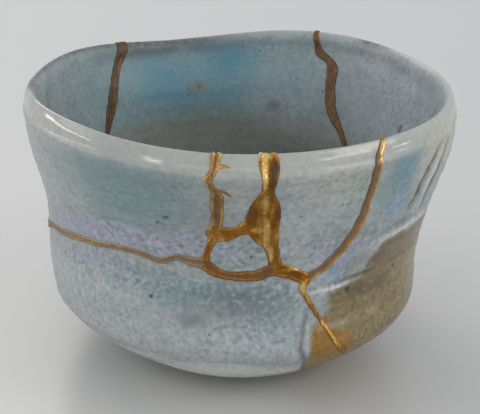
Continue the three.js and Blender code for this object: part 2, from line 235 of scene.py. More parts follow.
@dataclass(frozen=True)
class BowlForm:
    """The thrown bowl before it broke."""

    rim_radius: float = 59.3
    rim_height: float = 74.2
    rim_radius_waves: Waves = ((1, 2.0, -37), (2, 3.7, 65), (3, 0.65, 30), (4, 1.1, 54))
    rim_height_waves: Waves = ((1, 2.25, 195), (2, 0.85, 36), (3, 0.7, 88), (4, 0.6, 59), (5, 0.4, 0))
    lip: float = 4.1
    wall: float = 4.7
    foot_outer: float = 26.0
    foot_inner: float = 22.5
    foot_height: float = 3.2
    floor: float = 9.0
    centre: tuple[float, float] = (-1.65, 1.75)
    skin: float = 0.3  # the glaze lies about this far inside the frame's solids
    unevenness: float = 0.14  # mm that throwing lines and dents leave the plain surface, at most
    throwing_pitch: float = 4.4  # mm from one throwing line to the next
    throwing_lines: tuple[float, float] = (0.06, 0.035)  # mm high, outside and inside
    dents: tuple[float, float] = (0.09, 15.0)  # mm high and wide
    grain: tuple[float, float] = (0.022, 2.2)  # mm high and wide
    pit_floor: float = 0.45  # mm deep
    under: Level = Level(33.5, 3.6, ((2, 0.8, 115),))
    hip: Level = Level(48.7, 14.8, ((1, 1.0, 208), (2, 1.6, 115)), ((1, 2.1, 284),))
    belly: Level = Level(50.4, 27.6, ((1, 0.9, 165), (2, 1.1, 50)), ((1, 1.5, 7),))
    waist: Level = Level(51.5, 43.2, ((2, 0.25, -16),), ((1, 0.5, 230), (2, 0.5, -4)))
    flare_share: float = 0.56
    flare_waves: Waves = ((1, 0.45, -40), (2, 1.3, 6))
    grooves: tuple[Groove, ...] = (
        # around the waist on the right, and the ridges beside it
        Groove(((296.0, 35.0), (308.0, 35.7), (325.0, 35.9), (352.0, 36.2)), 0.5, 0.55, 0.5),
        Groove(((297.0, 34.9), (301.5, 35.5), (307.5, 35.7), (314.0, 35.2)), 0.3, 0.5, 1.0),
        Groove(((289.5, 33.6), (296.0, 34.1), (301.5, 34.2), (307.0, 34.3)), -0.2, 0.5, 1.0),
        Groove(((303.0, 34.3), (317.0, 34.9), (323.0, 34.6), (345.0, 34.2)), -0.2, 0.5, 0.8),
        Groove(((298.0, 43.0), (309.0, 43.6), (319.0, 45.0), (342.0, 45.0)), -0.25, 0.9, 0.75),
        # finger marks down the flare on the right
        Groove(((319.0, 49.5), (322.2, 52.5), (322.8, 57.0), (325.0, 61.5), (328.0, 67.0)), 0.5, 1.2, 0.9),
        Groove(((319.2, 50.4), (321.6, 51.9), (322.6, 54.5), (323.4, 58.0)), 0.2, 0.8, 1.0),
        Groove(((324.6, 48.0), (326.4, 56.0), (330.0, 64.0)), -0.25, 1.3, 0.5),
        Groove(((328.2, 47.0), (329.2, 54.0), (332.0, 60.0), (334.5, 66.0)), 0.5, 1.2, 0.9),
        # faint lines elsewhere
        Groove(((224.0, 36.5), (250.0, 35.3), (276.0, 34.1)), 0.1, 0.8),
        Groove(((50.0, 36.4), (120.0, 37.0), (190.0, 37.8)), 0.16, 0.8),
        Groove(((-20.0, 24.6), (60.0, 24.0), (140.0, 23.4)), 0.14, 1.0),
    )
    pits: tuple[Pit, ...] = (
        Pit(302.4, 32.4, 1.1),
        Pit(296.2, 6.0, 1.2),
        Pit(253.1, 55.6, 0.62),
        Pit(251.0, 54.0, 0.4),
        Pit(246.0, 33.2, 0.6),
        Pit(273.2, 45.4, 0.4),
        Pit(267.4, 48.0, 0.3),
        Pit(322.4, 33.6, 0.8),
        Pit(96.0, 52.0, 0.6),
        Pit(38.0, 31.0, 0.7),
        Pit(150.0, 24.0, 0.6),
        Pit(25.0, 53.5, 0.8, Side.INSIDE),
        Pit(104.8, 58.6, 0.6, Side.INSIDE),
        Pit(222.0, 40.0, 0.6, Side.INSIDE),
    )

    @property
    def foot_corners(self) -> tuple[tuple[float, float], ...]:
        """Radius and height of the underside's corners, from the middle out to the top of the foot."""
        return (
            (0.4, self.foot_height + 0.1),
            (self.foot_inner - 1.4, self.foot_height - 0.1),
            (self.foot_inner - 0.7, self.foot_height - 0.6),
            (self.foot_inner - 0.2, 0.55),
            (self.foot_inner + 0.35, 0.0),
            (self.foot_outer - 0.6, 0.0),
            (self.foot_outer - 0.15, 0.5),
            (self.foot_outer, self.foot_height - 0.5),
        )

    def stations(self, angle: np.ndarray) -> list[tuple[np.ndarray, np.ndarray]]:
        """Points of the profile from the top of the foot over the lip to the middle of the floor.

        Args:
            angle: Angles in degrees.

        Returns:
            Radius and height of each station, at every angle.
        """
        rim_radius = self.rim_radius + wave(self.rim_radius_waves, angle)
        rim_height = self.rim_height + wave(self.rim_height_waves, angle)
        waist_radius, waist_height = self.waist.at(angle)
        belly_radius, belly_height = self.belly.at(angle)
        hip_radius, hip_height = self.hip.at(angle)
        flare_radius = waist_radius + (rim_radius - waist_radius) * self.flare_share
        flare_radius = flare_radius + wave(self.flare_waves, angle)
        flare_height = (waist_height + rim_height) / 2.0
        same = np.ones_like(angle)
        return [
            (self.foot_outer * same, self.foot_height * same),
            self.under.at(angle),
            (hip_radius, hip_height),
            (belly_radius, belly_height),
            (waist_radius, waist_height),
            (flare_radius, flare_height),
            (rim_radius - 0.3, rim_height - 6.4),
            (rim_radius - 0.4, rim_height - 3.9),
            (rim_radius - 1.1, rim_height - 1.4),
            (rim_radius - self.lip * 0.54, rim_height),
            (rim_radius - self.lip * 0.96, rim_height - 1.8),
            (rim_radius - self.wall, rim_height - 6.5),
            (flare_radius - self.wall, flare_height + 0.5),
            (waist_radius - self.wall, waist_height + 1.0),
            (belly_radius - self.wall * 1.08, belly_height + 1.0),
            (hip_radius - self.wall * 1.6, hip_height + 4.5),
            (31.0 * same, (self.floor + 2.5) * same),
            (15.0 * same, (self.floor + 0.3) * same),
            (0.4 * same, self.floor * same),
        ]

    @property
    def crest(self) -> float:
        """Run of the lip's crest, where the outside ends and the inside begins."""
        return 8.6

    @property
    def last_run(self) -> float:
        """Run of the middle of the floor."""
        return 18.0

    @property
    def first_run(self) -> float:
        """Run of the middle of the underside."""
        return -float(len(self.foot_corners))

    def profile(self, angle: np.ndarray, run: np.ndarray) -> tuple[np.ndarray, np.ndarray]:
        """The plain thrown surface: straight lines through the foot's corners, then one smooth curve.

        Args:
            angle: Angles in degrees.
            run: Place along the profile: 0 is the top of the foot, and each station is one further.

        Returns:
            Radius and height at each place.
        """
        radius = np.empty_like(run)
        height = np.empty_like(run)
        under = run < 0.0
        corners = np.array([*self.foot_corners, (self.foot_outer, self.foot_height)])
        steps = np.arange(len(corners)) - (len(corners) - 1.0)
        radius[under] = np.interp(run[under], steps, corners[:, 0])
        height[under] = np.interp(run[under], steps, corners[:, 1])
        wall = ~under
        stations = np.array(self.stations(angle[wall]))
        last = len(stations) - 1
        part = np.clip(run[wall], 0.0, last - 1e-9)
        index = part.astype(int)
        column = np.arange(wall.sum())

        def station(i: np.ndarray) -> np.ndarray:
            """Station i of each place."""
            return stations[np.clip(i, 0, last), :, column]

        def slope(i: np.ndarray) -> np.ndarray:
            """Slope of the curve through station i of each place."""
            share = np.where((i > 0) & (i < last), 0.5, 1.0)[:, None]
            return (station(i + 1) - station(i - 1)) * share

        ends = station(index), station(index + 1), slope(index), slope(index + 1)
        point = smooth_curve((part - index)[:, None], *ends)
        radius[wall], height[wall] = point[:, 0], point[:, 1]
        return radius, height

    def place(self, angle: np.ndarray, run: np.ndarray) -> np.ndarray:
        """Points of the plain surface in space, in mm."""
        radius, height = self.profile(angle, run)
        turn = np.radians(angle)
        x = radius * np.cos(turn) + self.centre[0]
        y = radius * np.sin(turn) + self.centre[1]
        return np.stack([x, y, height], axis=1)

    def normals(self, angle: np.ndarray, run: np.ndarray) -> np.ndarray:
        """Directions away from the clay at each place."""
        step_angle, step_run = 0.2, 0.004
        around = self.place(angle + step_angle, run) - self.place(angle - step_angle, run)
        low = np.maximum(run - step_run, self.first_run)
        high = np.minimum(run + step_run, self.last_run)
        along = self.place(angle, high) - self.place(angle, low)
        across = np.cross(around, along)
        return across / np.maximum(np.linalg.norm(across, axis=1, keepdims=True), 1e-12)

    def pit_depth(self, angle: np.ndarray, height: np.ndarray, run: np.ndarray) -> np.ndarray:
        """How far into a pit each place lies.

        Args:
            angle: Angles in degrees.
            height: Heights in mm.
            run: Places along the profile.

        Returns:
            0 outside every pit, up to 1 in the middle of one.
        """
        total = np.zeros_like(angle)
        for pit in self.pits:
            side = run > self.crest if pit.side is Side.INSIDE else run < self.crest
            away = np.hypot((angle - pit.angle) * MM_PER_DEGREE, height - pit.height)
            total = np.maximum(total, np.where(side, smoothstep(pit.radius, pit.radius * 0.35, away), 0.0))
        return total

    def relief(self, angle: np.ndarray, run: np.ndarray, points: np.ndarray) -> np.ndarray:
        """Height of the glazed surface over the plain one: throwing lines, dents, grooves and pits.

        Args:
            angle: Angles in degrees.
            run: Places along the profile.
            points: The same places in space, in mm.

        Returns:
            Relief in mm along the surface's normal, below 0 everywhere.
        """
        height = points[:, 2]
        inside = run > self.crest
        on_wall = smoothstep(0.2, 1.5, run) * smoothstep(self.last_run, self.last_run - 1.5, run)
        off_lip = smoothstep(0.5, 1.8, np.abs(run - self.crest))
        sway = 1.6 * lattice_noise(points * np.array([1.0, 1.0, 0.35]), 26.0, 5)
        tall_outside, tall_inside = self.throwing_lines
        lines = np.sin(2.0 * math.pi * height / self.throwing_pitch + sway)
        lines = np.where(inside, tall_inside, tall_outside) * lines * off_lip
        dents = self.dents[0] * fractal_noise(points, self.dents[1], 11)
        grain = self.grain[0] * fractal_noise(points, self.grain[1], 23, 2)
        cut = sum(groove.depth * groove.share(angle, height) for groove in self.grooves)
        cut = np.where(inside, 0.0, cut) * off_lip
        pits = self.pit_floor * self.pit_depth(angle, height, run)
        raised = np.clip(lines + dents + grain, -self.unevenness, self.unevenness) * on_wall
        return raised - cut * on_wall - pits - self.skin * np.minimum(on_wall + 0.12, 1.0)


# --- The breaks ------------------------------------------------------------------------------------


class Join(Enum):
    """Where breaks meet: angle and height."""

    LEFT_BRIDGE = (264.4, 51.9)
    LEFT_WAIST = (261.3, 43.2)
    CENTRE_BRIDGE = (275.8, 54.2)
    CENTRE_WAIST = (279.8, 41.9)
    FORK = (288.6, 38.2)
    BACK_WAIST = (150.0, 36.5)

    def wide(self, width: float) -> tuple[float, float, float]:
        """The join as a stop of a break with that width."""
        return (*self.value, width)


@dataclass(frozen=True)
class Break:
    """One line that the bowl broke along: its stops are angle, height and width of the gold."""

    stops: Stops
    hollow: float = 0.45  # how deep the gold sags between its edges, 0 to 1
    powder: float = 0.0  # gold powder that it carries, against the other seams; the low values on the seams inside the back are partly painted shade
    worn: float = 0.0  # how dull its gold is rubbed, 0 to 1
    painted_side_light: float = 0.0  # painted light and shade: how much brighter its left side is painted, walking along it, than its right

    def walk(self) -> np.ndarray:
        """Points along the break.

        Returns:
            One row per point, about 0.8 mm apart: distance around the wall, height and width, in mm.
        """
        stops = np.array(self.stops, float)
        stops[:, 0] *= MM_PER_DEGREE
        gaps = np.maximum(np.linalg.norm(np.diff(stops[:, :2], axis=0), axis=1), 0.05)
        knots = np.concatenate([[0.0], np.cumsum(gaps)])
        slopes = np.gradient(stops, knots, axis=0)
        at = np.linspace(0.0, knots[-1], int(knots[-1] / 0.8) + 2)
        index = np.clip(np.searchsorted(knots, at, side="right") - 1, 0, len(stops) - 2)
        span = (knots[index + 1] - knots[index])[:, None]
        t = ((at - knots[index])[:, None]) / span
        slopes_here = slopes[index] * span, slopes[index + 1] * span
        return smooth_curve(t, stops[index], stops[index + 1], *slopes_here)


BREAKS: dict[str, Break] = {
    "left_upper": Break(
        (
            (265.6, ABOVE_RIM, 1.9), (265.5, 72.3, 1.9), (265.2, 70.0, 1.5), (264.0, 67.6, 1.6),
            (264.8, 65.8, 1.5), (265.5, 64.0, 2.5), (265.5, 60.5, 2.9), (265.2, 56.5, 2.9),
            Join.LEFT_BRIDGE.wide(2.9),
        ),
        hollow=0.95,
        powder=0.15,
        worn=0.4,
    ),
    "left_lower": Break(
        (Join.LEFT_BRIDGE.wide(2.8), (263.0, 48.6, 1.9), (262.0, 45.9, 1.8), Join.LEFT_WAIST.wide(2.4)),
        hollow=0.6,
    ),
    "bridge": Break(
        (
            Join.LEFT_BRIDGE.wide(4.2), (267.0, 52.0, 4.0), (269.5, 52.5, 3.2), (271.8, 53.7, 3.8),
            Join.CENTRE_BRIDGE.wide(5.5),
        ),
        hollow=0.35,
    ),
    "centre_upper": Break(
        (
            (275.9, ABOVE_RIM, 3.8), (276.0, 72.6, 3.8), (276.4, 70.2, 4.0), (276.4, 67.0, 3.0),
            (276.1, 64.0, 3.0), (276.1, 61.0, 5.2), (276.0, 58.3, 7.2), (275.8, 56.0, 8.0),
            Join.CENTRE_BRIDGE.wide(8.0),
        ),
        hollow=0.3,
        powder=-0.1,
    ),
    "centre_lower": Break(
        (
            Join.CENTRE_BRIDGE.wide(7.8), (277.0, 51.0, 5.9), (278.0, 49.0, 4.2),
            (278.8, 46.4, 3.1), Join.CENTRE_WAIST.wide(4.0),
        ),
        hollow=0.25,
        powder=-0.1,
    ),
    "waist_right": Break(
        (Join.CENTRE_WAIST.wide(4.0), (283.6, 40.4, 3.4), (286.2, 39.2, 3.3), Join.FORK.wide(3.2)),
        powder=-0.25,
    ),
    "waist_middle": Break(
        (
            Join.LEFT_WAIST.wide(3.6), (263.4, 41.7, 3.2), (266.0, 40.5, 2.5), (270.0, 40.2, 2.7),
            (275.0, 40.3, 3.1), Join.CENTRE_WAIST.wide(3.4),
        ),
        powder=-0.4,
        worn=0.2,
    ),
    "waist_left": Break(
        (
            Join.BACK_WAIST.wide(1.8), (160.0, 35.8, 1.7), (170.0, 35.2, 1.8), (180.0, 35.4, 1.7),
            (190.5, 36.6, 1.8), (200.0, 39.6, 1.7), (210.0, 41.0, 1.7), (220.0, 42.3, 1.8),
            (230.0, 43.2, 1.6), (238.0, 44.0, 1.6), (243.0, 43.9, 1.9), (249.5, 42.8, 1.7),
            (254.3, 44.4, 2.0), (257.5, 43.7, 2.7), Join.LEFT_WAIST.wide(3.4),
        ),
        hollow=0.7,
        worn=0.9,
        painted_side_light=0.2,
    ),
    "right_curve": Break(
        (
            (303.8, ABOVE_RIM, 1.7), (303.5, 71.6, 1.7), (302.2, 69.6, 2.0), (301.8, 66.5, 2.5),
            (302.5, 62.0, 2.5), (302.5, 57.0, 2.5), (301.8, 52.0, 2.8), (300.4, 48.3, 2.9),
            (297.6, 44.6, 2.8), (294.4, 41.5, 2.6), (291.2, 39.4, 2.5), Join.FORK.wide(3.0),
        ),
        hollow=0.35,
        powder=-0.15,
        worn=0.5,
        painted_side_light=1.3,
    ),
    "right_tail": Break(
        (
            Join.FORK.wide(3.2), (287.6, 35.6, 1.8), (288.8, 33.4, 1.6), (292.0, 28.5, 1.2),
            (294.2, 25.4, 1.2), (296.6, 21.9, 1.2), (298.6, 19.0, 1.5), (301.6, 16.2, 1.8),
            (303.6, 14.0, 0.9),
        ),
        hollow=0.0,
        painted_side_light=-0.3,
    ),
    "back_left": Break(
        (
            (130.6, ABOVE_RIM, 4.0), (131.0, 72.4, 4.0), (133.7, 68.4, 2.9), (136.4, 64.3, 3.1),
            (138.7, 59.7, 4.0), (140.6, 55.6, 3.9), (142.6, 51.8, 2.6), (145.6, 46.0, 1.7),
            (148.6, 40.6, 1.6), Join.BACK_WAIST.wide(1.8),
        ),
        hollow=0.2,
        # partly its own colour, partly painted shade: this seam's gold is browner than the rest
        powder=-1.0,
        worn=0.15,
    ),
    "back_right": Break(
        (
            (65.9, ABOVE_RIM, 1.6), (65.8, 71.5, 1.8), (64.8, 68.6, 2.4), (61.4, 66.3, 2.0),
            (59.0, 63.3, 3.6), (58.6, 60.6, 3.4), (57.3, 56.0, 3.5), (55.0, 52.0, 3.3),
            (51.6, 49.0, 2.4), (47.4, 45.0, 1.9), (43.6, 40.0, 1.5), (41.4, 33.0, 1.2),
            (41.8, 26.0, 0.8),
        ),
        hollow=0.2,
        # partly its own colour, partly painted shade: this seam's gold is browner than the rest
        powder=-0.8,
        worn=0.2,
    ),
}

# Fine splits that run a little way out of the left seam; only the gold fills them.
SPLITS: dict[str, Break] = {
    "left_split_high": Break(((264.9, 69.4, 0.9), (266.4, 71.0, 0.9), (268.2, 70.8, 0.35)), powder=0.3),
    "left_split_low": Break(((265.4, 65.0, 0.9), (266.9, 64.7, 0.8), (268.3, 63.4, 0.35)), worn=0.8),
}

# Where the gold is painted bright (above 0) or brown (below 0), partly thick and thin powder and partly
# painted highlights and shade: angle, height, half its width in degrees, half its height in mm, and how
# much.
GOLD_TONES_AND_HIGHLIGHTS: tuple[tuple[float, float, float, float, float], ...] = (
    (276.0, 73.4, 2.6, 1.5, 0.75), (275.4, 69.4, 0.55, 4.8, 0.9), (277.3, 68.3, 1.0, 4.8, -0.75),
    (276.0, 60.2, 0.8, 3.8, 0.45), (273.2, 57.4, 1.2, 3.2, -0.6), (279.4, 58.0, 1.0, 2.6, -0.6),
    (278.2, 54.6, 0.7, 1.6, -0.4), (276.9, 51.6, 0.9, 4.0, 0.5), (274.4, 53.0, 1.4, 0.9, 0.5),
    (278.4, 46.6, 0.7, 2.4, 0.4), (265.4, 59.0, 0.7, 4.5, -0.5), (263.4, 67.8, 1.0, 1.6, 0.35),
    (284.4, 41.4, 3.0, 0.5, 0.5), (288.4, 38.8, 1.3, 1.0, 0.4), (287.6, 35.6, 1.0, 1.8, 0.5),
    (303.0, 69.6, 0.8, 3.5, 0.7),
)

LONE_BREAK = "back_right"

# Each sherd by the breaks around it; True walks that break backwards.
SHERDS: dict[str, tuple[tuple[str, bool], ...]] = {
    "rim_sherd_left": (
        ("back_left", False),
        ("waist_left", False),
        ("left_lower", True),
        ("left_upper", True),
    ),
    "rim_sherd_small": (("left_upper", False), ("bridge", False), ("centre_upper", True)),
    "rim_sherd_middle": (
        ("centre_upper", False),
        ("centre_lower", False),
        ("waist_right", False),
        ("right_curve", True),
    ),
    "island_sherd": (
        ("bridge", False),
        ("centre_lower", False),
        ("waist_middle", True),
        ("left_lower", True),
    ),
}

# Everything that broke out of the body, as one outline.
BROKEN_OUT: tuple[tuple[str, bool], ...] = (
    ("back_left", False),
    ("waist_left", False),
    ("waist_middle", False),
    ("waist_right", False),
    ("right_curve", True),
)


@dataclass(frozen=True)
class Nearest:
    """What the nearest break is like at each of many places."""

    edge: np.ndarray  # mm to the edge of its gold, below 0 inside it
    half: np.ndarray  # half its width in mm
    hollow: np.ndarray
    powder: np.ndarray
    worn: np.ndarray
    painted_side_light: np.ndarray


@dataclass(frozen=True)
class BreakField:
    """Distances on the wall to a set of breaks."""

    breaks: tuple[Break, ...]
    reach: float = 7.0  # mm; farther away than this counts as far

    def measure(self, angle: np.ndarray, height: np.ndarray) -> Nearest:
        """Finds the nearest break of each place.

        Args:
            angle: Angles in degrees.
            height: Heights in mm.

        Returns:
            What it is like at each place.
        """
        x = angle * MM_PER_DEGREE
        found = Nearest(np.full(x.shape, 50.0), np.ones(x.shape), *(np.zeros(x.shape) for _ in range(4)))
        for line in self.breaks:
            path = line.walk()
            for start, end in zip(path[:-1], path[1:]):
                self._compare(x, height, start, end, line, found)
        return found

    def _compare(
        self,
        x: np.ndarray,
        height: np.ndarray,
        start: np.ndarray,
        end: np.ndarray,
        line: Break,
        found: Nearest,
    ) -> None:
        """Compares one short stretch of a break with the nearest so far.

        Args:
            x: Distances around the wall in mm.
            height: Heights in mm.
            start: Distance around the wall, height and width where the stretch starts.
            end: The same where it ends.
            line: The break that the stretch belongs to.
            found: The nearest break so far, changed in place.
        """
        near = np.abs(x - (start[0] + end[0]) / 2.0) < self.reach
        near &= np.abs(height - (start[1] + end[1]) / 2.0) < self.reach
        if not near.any():
            return
        t, away = to_segment(x[near], height[near], start, end)
        half = (start[2] + (end[2] - start[2]) * t) / 2.0
        closer = away - half < found.edge[near]
        index = np.flatnonzero(near)[closer]
        found.edge[index] = (away - half)[closer]
        found.half[index] = half[closer]
        found.hollow[index] = line.hollow
        found.powder[index] = line.powder
        found.worn[index] = line.worn
        along = (end[:2] - start[:2]) / max(np.linalg.norm(end[:2] - start[:2]), 1e-9)
        across = along[0] * (height[near] - start[1]) - along[1] * (x[near] - start[0])
        # painted light: one side of the seam is painted lighter than the other
        found.painted_side_light[index] = line.painted_side_light * np.clip(across / half, -1.0, 1.0)[closer]


def sherd_outline(names: tuple[tuple[str, bool], ...]) -> np.ndarray:
    """Outline of a sherd on the wall, along the middle of the breaks around it.

    Args:
        names: Each break around the sherd, and whether it is walked backwards.

    Returns:
        Distance around the wall and height of each corner, in mm.
    """
    paths = []
    for name, backwards in names:
        path = BREAKS[name].walk()[:, :2]
        paths.append(path[::-1] if backwards else path)
    return np.concatenate(paths)


def inside_outline(x: np.ndarray, z: np.ndarray, outline: np.ndarray) -> np.ndarray:
    """Tests which places lie inside a closed outline.

    Args:
        x: Distances around the wall in mm.
        z: Heights in mm.
        outline: Corners of the outline.

    Returns:
        True for each place inside.
    """
    inside = np.zeros(x.shape, bool)
    for (x0, z0), (x1, z1) in zip(outline, np.roll(outline, -1, axis=0)):
        if z0 == z1:
            continue
        crosses = (z0 > z) != (z1 > z)
        inside ^= crosses & (x < x0 + (x1 - x0) * (z - z0) / (z1 - z0))
    return inside


# --- Skins: meshes over angle and run --------------------------------------------------------------


@dataclass
class Skin:
    """A triangle mesh whose points are places on the bowl."""

    angle: np.ndarray
    run: np.ndarray
    faces: np.ndarray

    @classmethod
    def rings(cls, starts: float, span: float, runs: np.ndarray, columns: np.ndarray) -> Skin:
        """A mesh of rings or arcs, one above the other.

        Args:
            starts: Angle of the first column.
            span: Degrees that each ring covers; 360 closes it.
            runs: Run of each ring.
            columns: Number of cells in each ring, equal to the ring before it, half or twice as many.

        Returns:
            The skin, with each end ring of a closed skin filled by a flat cap.
        """
        closed = span >= 360.0
        points = columns if closed else columns + 1
        first = np.concatenate([[0], np.cumsum(points)])
        angle = np.concatenate([starts + np.arange(n) * span / m for n, m in zip(points, columns)])
        run = np.repeat(runs, points)
        faces = []
        for row in range(len(runs) - 1):
            below, above = int(columns[row]), int(columns[row + 1])
            cell = np.arange(min(below, above))

            def corner(ring: int, count: int, index: np.ndarray) -> np.ndarray:
                """Point number of a column of a ring."""
                return first[ring] + (index % count if closed else index)

            if below == above:
                a, b = corner(row, below, cell), corner(row, below, cell + 1)
                c, d = corner(row + 1, above, cell), corner(row + 1, above, cell + 1)
                even = ((row + cell) % 2 == 0)[:, None]
                faces.append(np.where(even, np.stack([a, b, d], 1), np.stack([a, b, c], 1)))
                faces.append(np.where(even, np.stack([a, d, c], 1), np.stack([b, d, c], 1)))
            elif below > above:
                a, b, c = (corner(row, below, 2 * cell + step) for step in (0, 1, 2))
                d, e = corner(row + 1, above, cell), corner(row + 1, above, cell + 1)
                faces.extend(np.stack(face, 1) for face in ((a, b, d), (b, e, d), (b, c, e)))
            else:
                a, b = corner(row, below, cell), corner(row, below, cell + 1)
                c, d, e = (corner(row + 1, above, 2 * cell + step) for step in (0, 1, 2))
                faces.extend(np.stack(face, 1) for face in ((a, d, c), (a, b, d), (b, e, d)))
        if closed:
            low, high = np.arange(columns[0]), first[-2] + np.arange(columns[-1])
            caps = ((low, False), (high, True))
            for ring, upward in caps:
                fan = np.stack([np.full(len(ring) - 2, ring[0]), ring[1:-1], ring[2:]], 1)
                faces.append(fan if upward else fan[:, ::-1])
        return cls(angle, run, np.concatenate(faces))

    def kept(self, faces: np.ndarray) -> Skin:
        """The same places with only some faces, without unused points."""
        used, index = np.unique(faces, return_inverse=True)
        return Skin(self.angle[used], self.run[used], index.reshape(-1, 3))

    def clipped(self, field: np.ndarray) -> Skin:
        """Cuts the skin along the line where a field is 0.

        Args:
            field: A value at each point; what is above 0 stays.

        Returns:
            The part above 0, with new points on the cut.
        """
        keep = field > 0.0
        count = keep[self.faces].sum(axis=1)
        whole = self.faces[count == 3]
        mixed = self.faces[(count == 1) | (count == 2)]
        odd_kept = count[(count == 1) | (count == 2)] == 1
        odd = np.argmax(keep[mixed] == odd_kept[:, None], axis=1)
        rows = np.arange(len(mixed))
        corner, after, before = (mixed[rows, (odd + step) % 3] for step in range(3))
        edges = np.concatenate([np.stack([corner, after], 1), np.stack([corner, before], 1)])
        keys, place = np.unique(np.sort(edges, axis=1), axis=0, return_inverse=True)
        low, high = keys[:, 0], keys[:, 1]
        t = np.clip(field[low] / (field[low] - field[high]), 0.03, 0.97)
        new_angle = self.angle[low] + (self.angle[high] - self.angle[low]) * t
        new_run = self.run[low] + (self.run[high] - self.run[low]) * t
        place = place.ravel() + len(self.angle)
        to_after, to_before = place[: len(mixed)], place[len(mixed) :]
        tips = np.stack([corner, to_after, to_before], 1)[odd_kept]
        stubs = ~odd_kept
        first = np.stack([to_after, after, before], 1)[stubs]
        second = np.stack([to_after, before, to_before], 1)[stubs]
        joined = Skin(
            np.concatenate([self.angle, new_angle]),
            np.concatenate([self.run, new_run]),
            np.concatenate([whole, tips, first, second]),
        )
        return joined.kept(joined.faces)

    def without_specks(self, smallest: int) -> Skin:
        """Drops separate scraps with fewer faces than that."""
        label = np.arange(len(self.angle))
        while True:
            low = label[self.faces].min(axis=1)
            new = label.copy()
            np.minimum.at(new, self.faces.ravel(), np.repeat(low, 3))
            new = new[new]
            if (new == label).all():
                break
            label = new
        of_face = label[self.faces[:, 0]]
        names, counts = np.unique(of_face, return_counts=True)
        big = names[counts >= smallest]
        return self.kept(self.faces[np.isin(of_face, big)])

    def rims(self) -> list[np.ndarray]:
        """Open edges of the skin.

        Returns:
            Point numbers of each closed loop of open edges, in the order of its faces.
        """
        edges = np.concatenate([self.faces[:, [0, 1]], self.faces[:, [1, 2]], self.faces[:, [2, 0]]])
        size = len(self.angle)
        forward = edges[:, 0].astype(np.int64) * size + edges[:, 1]
        backward = edges[:, 1].astype(np.int64) * size + edges[:, 0]
        open_edges = edges[~np.isin(forward, backward)]
        after = {int(a): int(b) for a, b in open_edges}
        loops = []
        while after:
            start, here = after.popitem()
            loop = [start]
            while here != start and here in after:
                loop.append(here)
                here = after.pop(here)
            loops.append(np.array(loop))
        return loops

    def break_walls(self, form: BowlForm) -> np.ndarray:
        """Faces that join the outside edge of a piece to its inside edge, through the wall.

        Args:
            form: The bowl, for its profile and the run of its crest.

        Returns:
            The new faces over the same points.
        """
        height = form.profile(self.angle, self.run)[1]
        flat = np.stack([self.angle * MM_PER_DEGREE, height], axis=1)
        strips = []
        loose: dict[Side, list[np.ndarray]] = {Side.OUTSIDE: [], Side.INSIDE: []}
        for loop in self.rims():
            inner = self.run[loop] > form.crest
            if inner.all() or not inner.any():
                loose[Side.INSIDE if inner.all() else Side.OUTSIDE].append(loop)
                continue
            starts = np.flatnonzero(inner & ~np.roll(inner, 1))
            lengths = [int(np.argmin(np.roll(inner, -start))) for start in starts]
            longest = int(np.argmax(lengths))
            loop = np.roll(loop, -starts[longest])
            split = lengths[longest]
            strips.append(self._zip(loop[:split], loop[split:][::-1], flat))
        for loop in loose[Side.OUTSIDE]:
            middle = flat[loop].mean(axis=0)
            gaps = [np.linalg.norm(flat[other].mean(axis=0) - middle) for other in loose[Side.INSIDE]]
            if not gaps:
                raise ValueError("a hole in the outside has no match in the inside")
            other = loose[Side.INSIDE].pop(int(np.argmin(gaps)))
            nearest = int(np.argmin(np.linalg.norm(flat[other] - flat[loop[0]], axis=1)))
            other = np.roll(other, -nearest)
            other = np.append(other, other[0])[::-1]
            strips.append(self._zip(np.append(loop, loop[0]), other, flat))
        return np.concatenate(strips) if strips else np.empty((0, 3), int)

    @staticmethod
    def _zip(one: np.ndarray, two: np.ndarray, flat: np.ndarray) -> np.ndarray:
        """Triangles between two chains of points that run side by side.

        Args:
            one: Point numbers of the first chain, in the order of the open edge.
            two: Point numbers of the second chain, walked the same way.
            flat: Each point's place on the unrolled wall.

        Returns:
            The faces between them.
        """
        i = j = 0
        faces = []
        while i < len(one) - 1 or j < len(two) - 1:
            step_one = step_two = math.inf
            if i < len(one) - 1:
                step_one = math.dist(flat[one[i + 1]], flat[two[j]])
            if j < len(two) - 1:
                step_two = math.dist(flat[one[i]], flat[two[j + 1]])
            if step_one <= step_two:
                faces.append((one[i + 1], one[i], two[j]))
                i += 1
            else:
                faces.append((two[j], two[j + 1], one[i]))
                j += 1
        return np.array(faces)


def even_runs(form: BowlForm, start: float, end: float, spacing: float) -> np.ndarray:
    """Runs that lie about evenly spaced along the profile.

    Args:
        form: The bowl.
        start: First run.
        end: Last run.
        spacing: Distance between rows in mm.

    Returns:
        The runs, with both ends.
    """
    fine = np.linspace(start, end, 2000)
    radius, height = form.profile(np.full_like(fine, 270.0), fine)
    length = np.concatenate([[0.0], np.cumsum(np.hypot(np.diff(radius), np.diff(height)))])
    rows = max(int(round(length[-1] / spacing)), 1)
    return np.interp(np.linspace(0.0, length[-1], rows + 1), length, fine)


def finished_mesh(name: str, points: np.ndarray, faces: np.ndarray) -> bpy.types.Object:
    """Makes a smooth mesh object.

    Args:
        name: Name of the object.
        points: Points in mm.
        faces: Triangles.

    Returns:
        The object, linked into the scene.
    """
    mesh = bpy.data.meshes.new(name)
    mesh.vertices.add(len(points))
    mesh.vertices.foreach_set("co", (points * MM).astype(np.float32).ravel())
    mesh.loops.add(len(faces) * 3)
    mesh.loops.foreach_set("vertex_index", faces.astype(np.int32).ravel())
    mesh.polygons.add(len(faces))
    mesh.polygons.foreach_set("loop_start", np.arange(0, len(faces) * 3, 3, dtype=np.int32))
    mesh.polygons.foreach_set("use_smooth", np.ones(len(faces), bool))
    mesh.update(calc_edges=True)
    mesh.validate()
    piece = bpy.data.objects.new(name, mesh)
    bpy.context.scene.collection.objects.link(piece)
    return piece


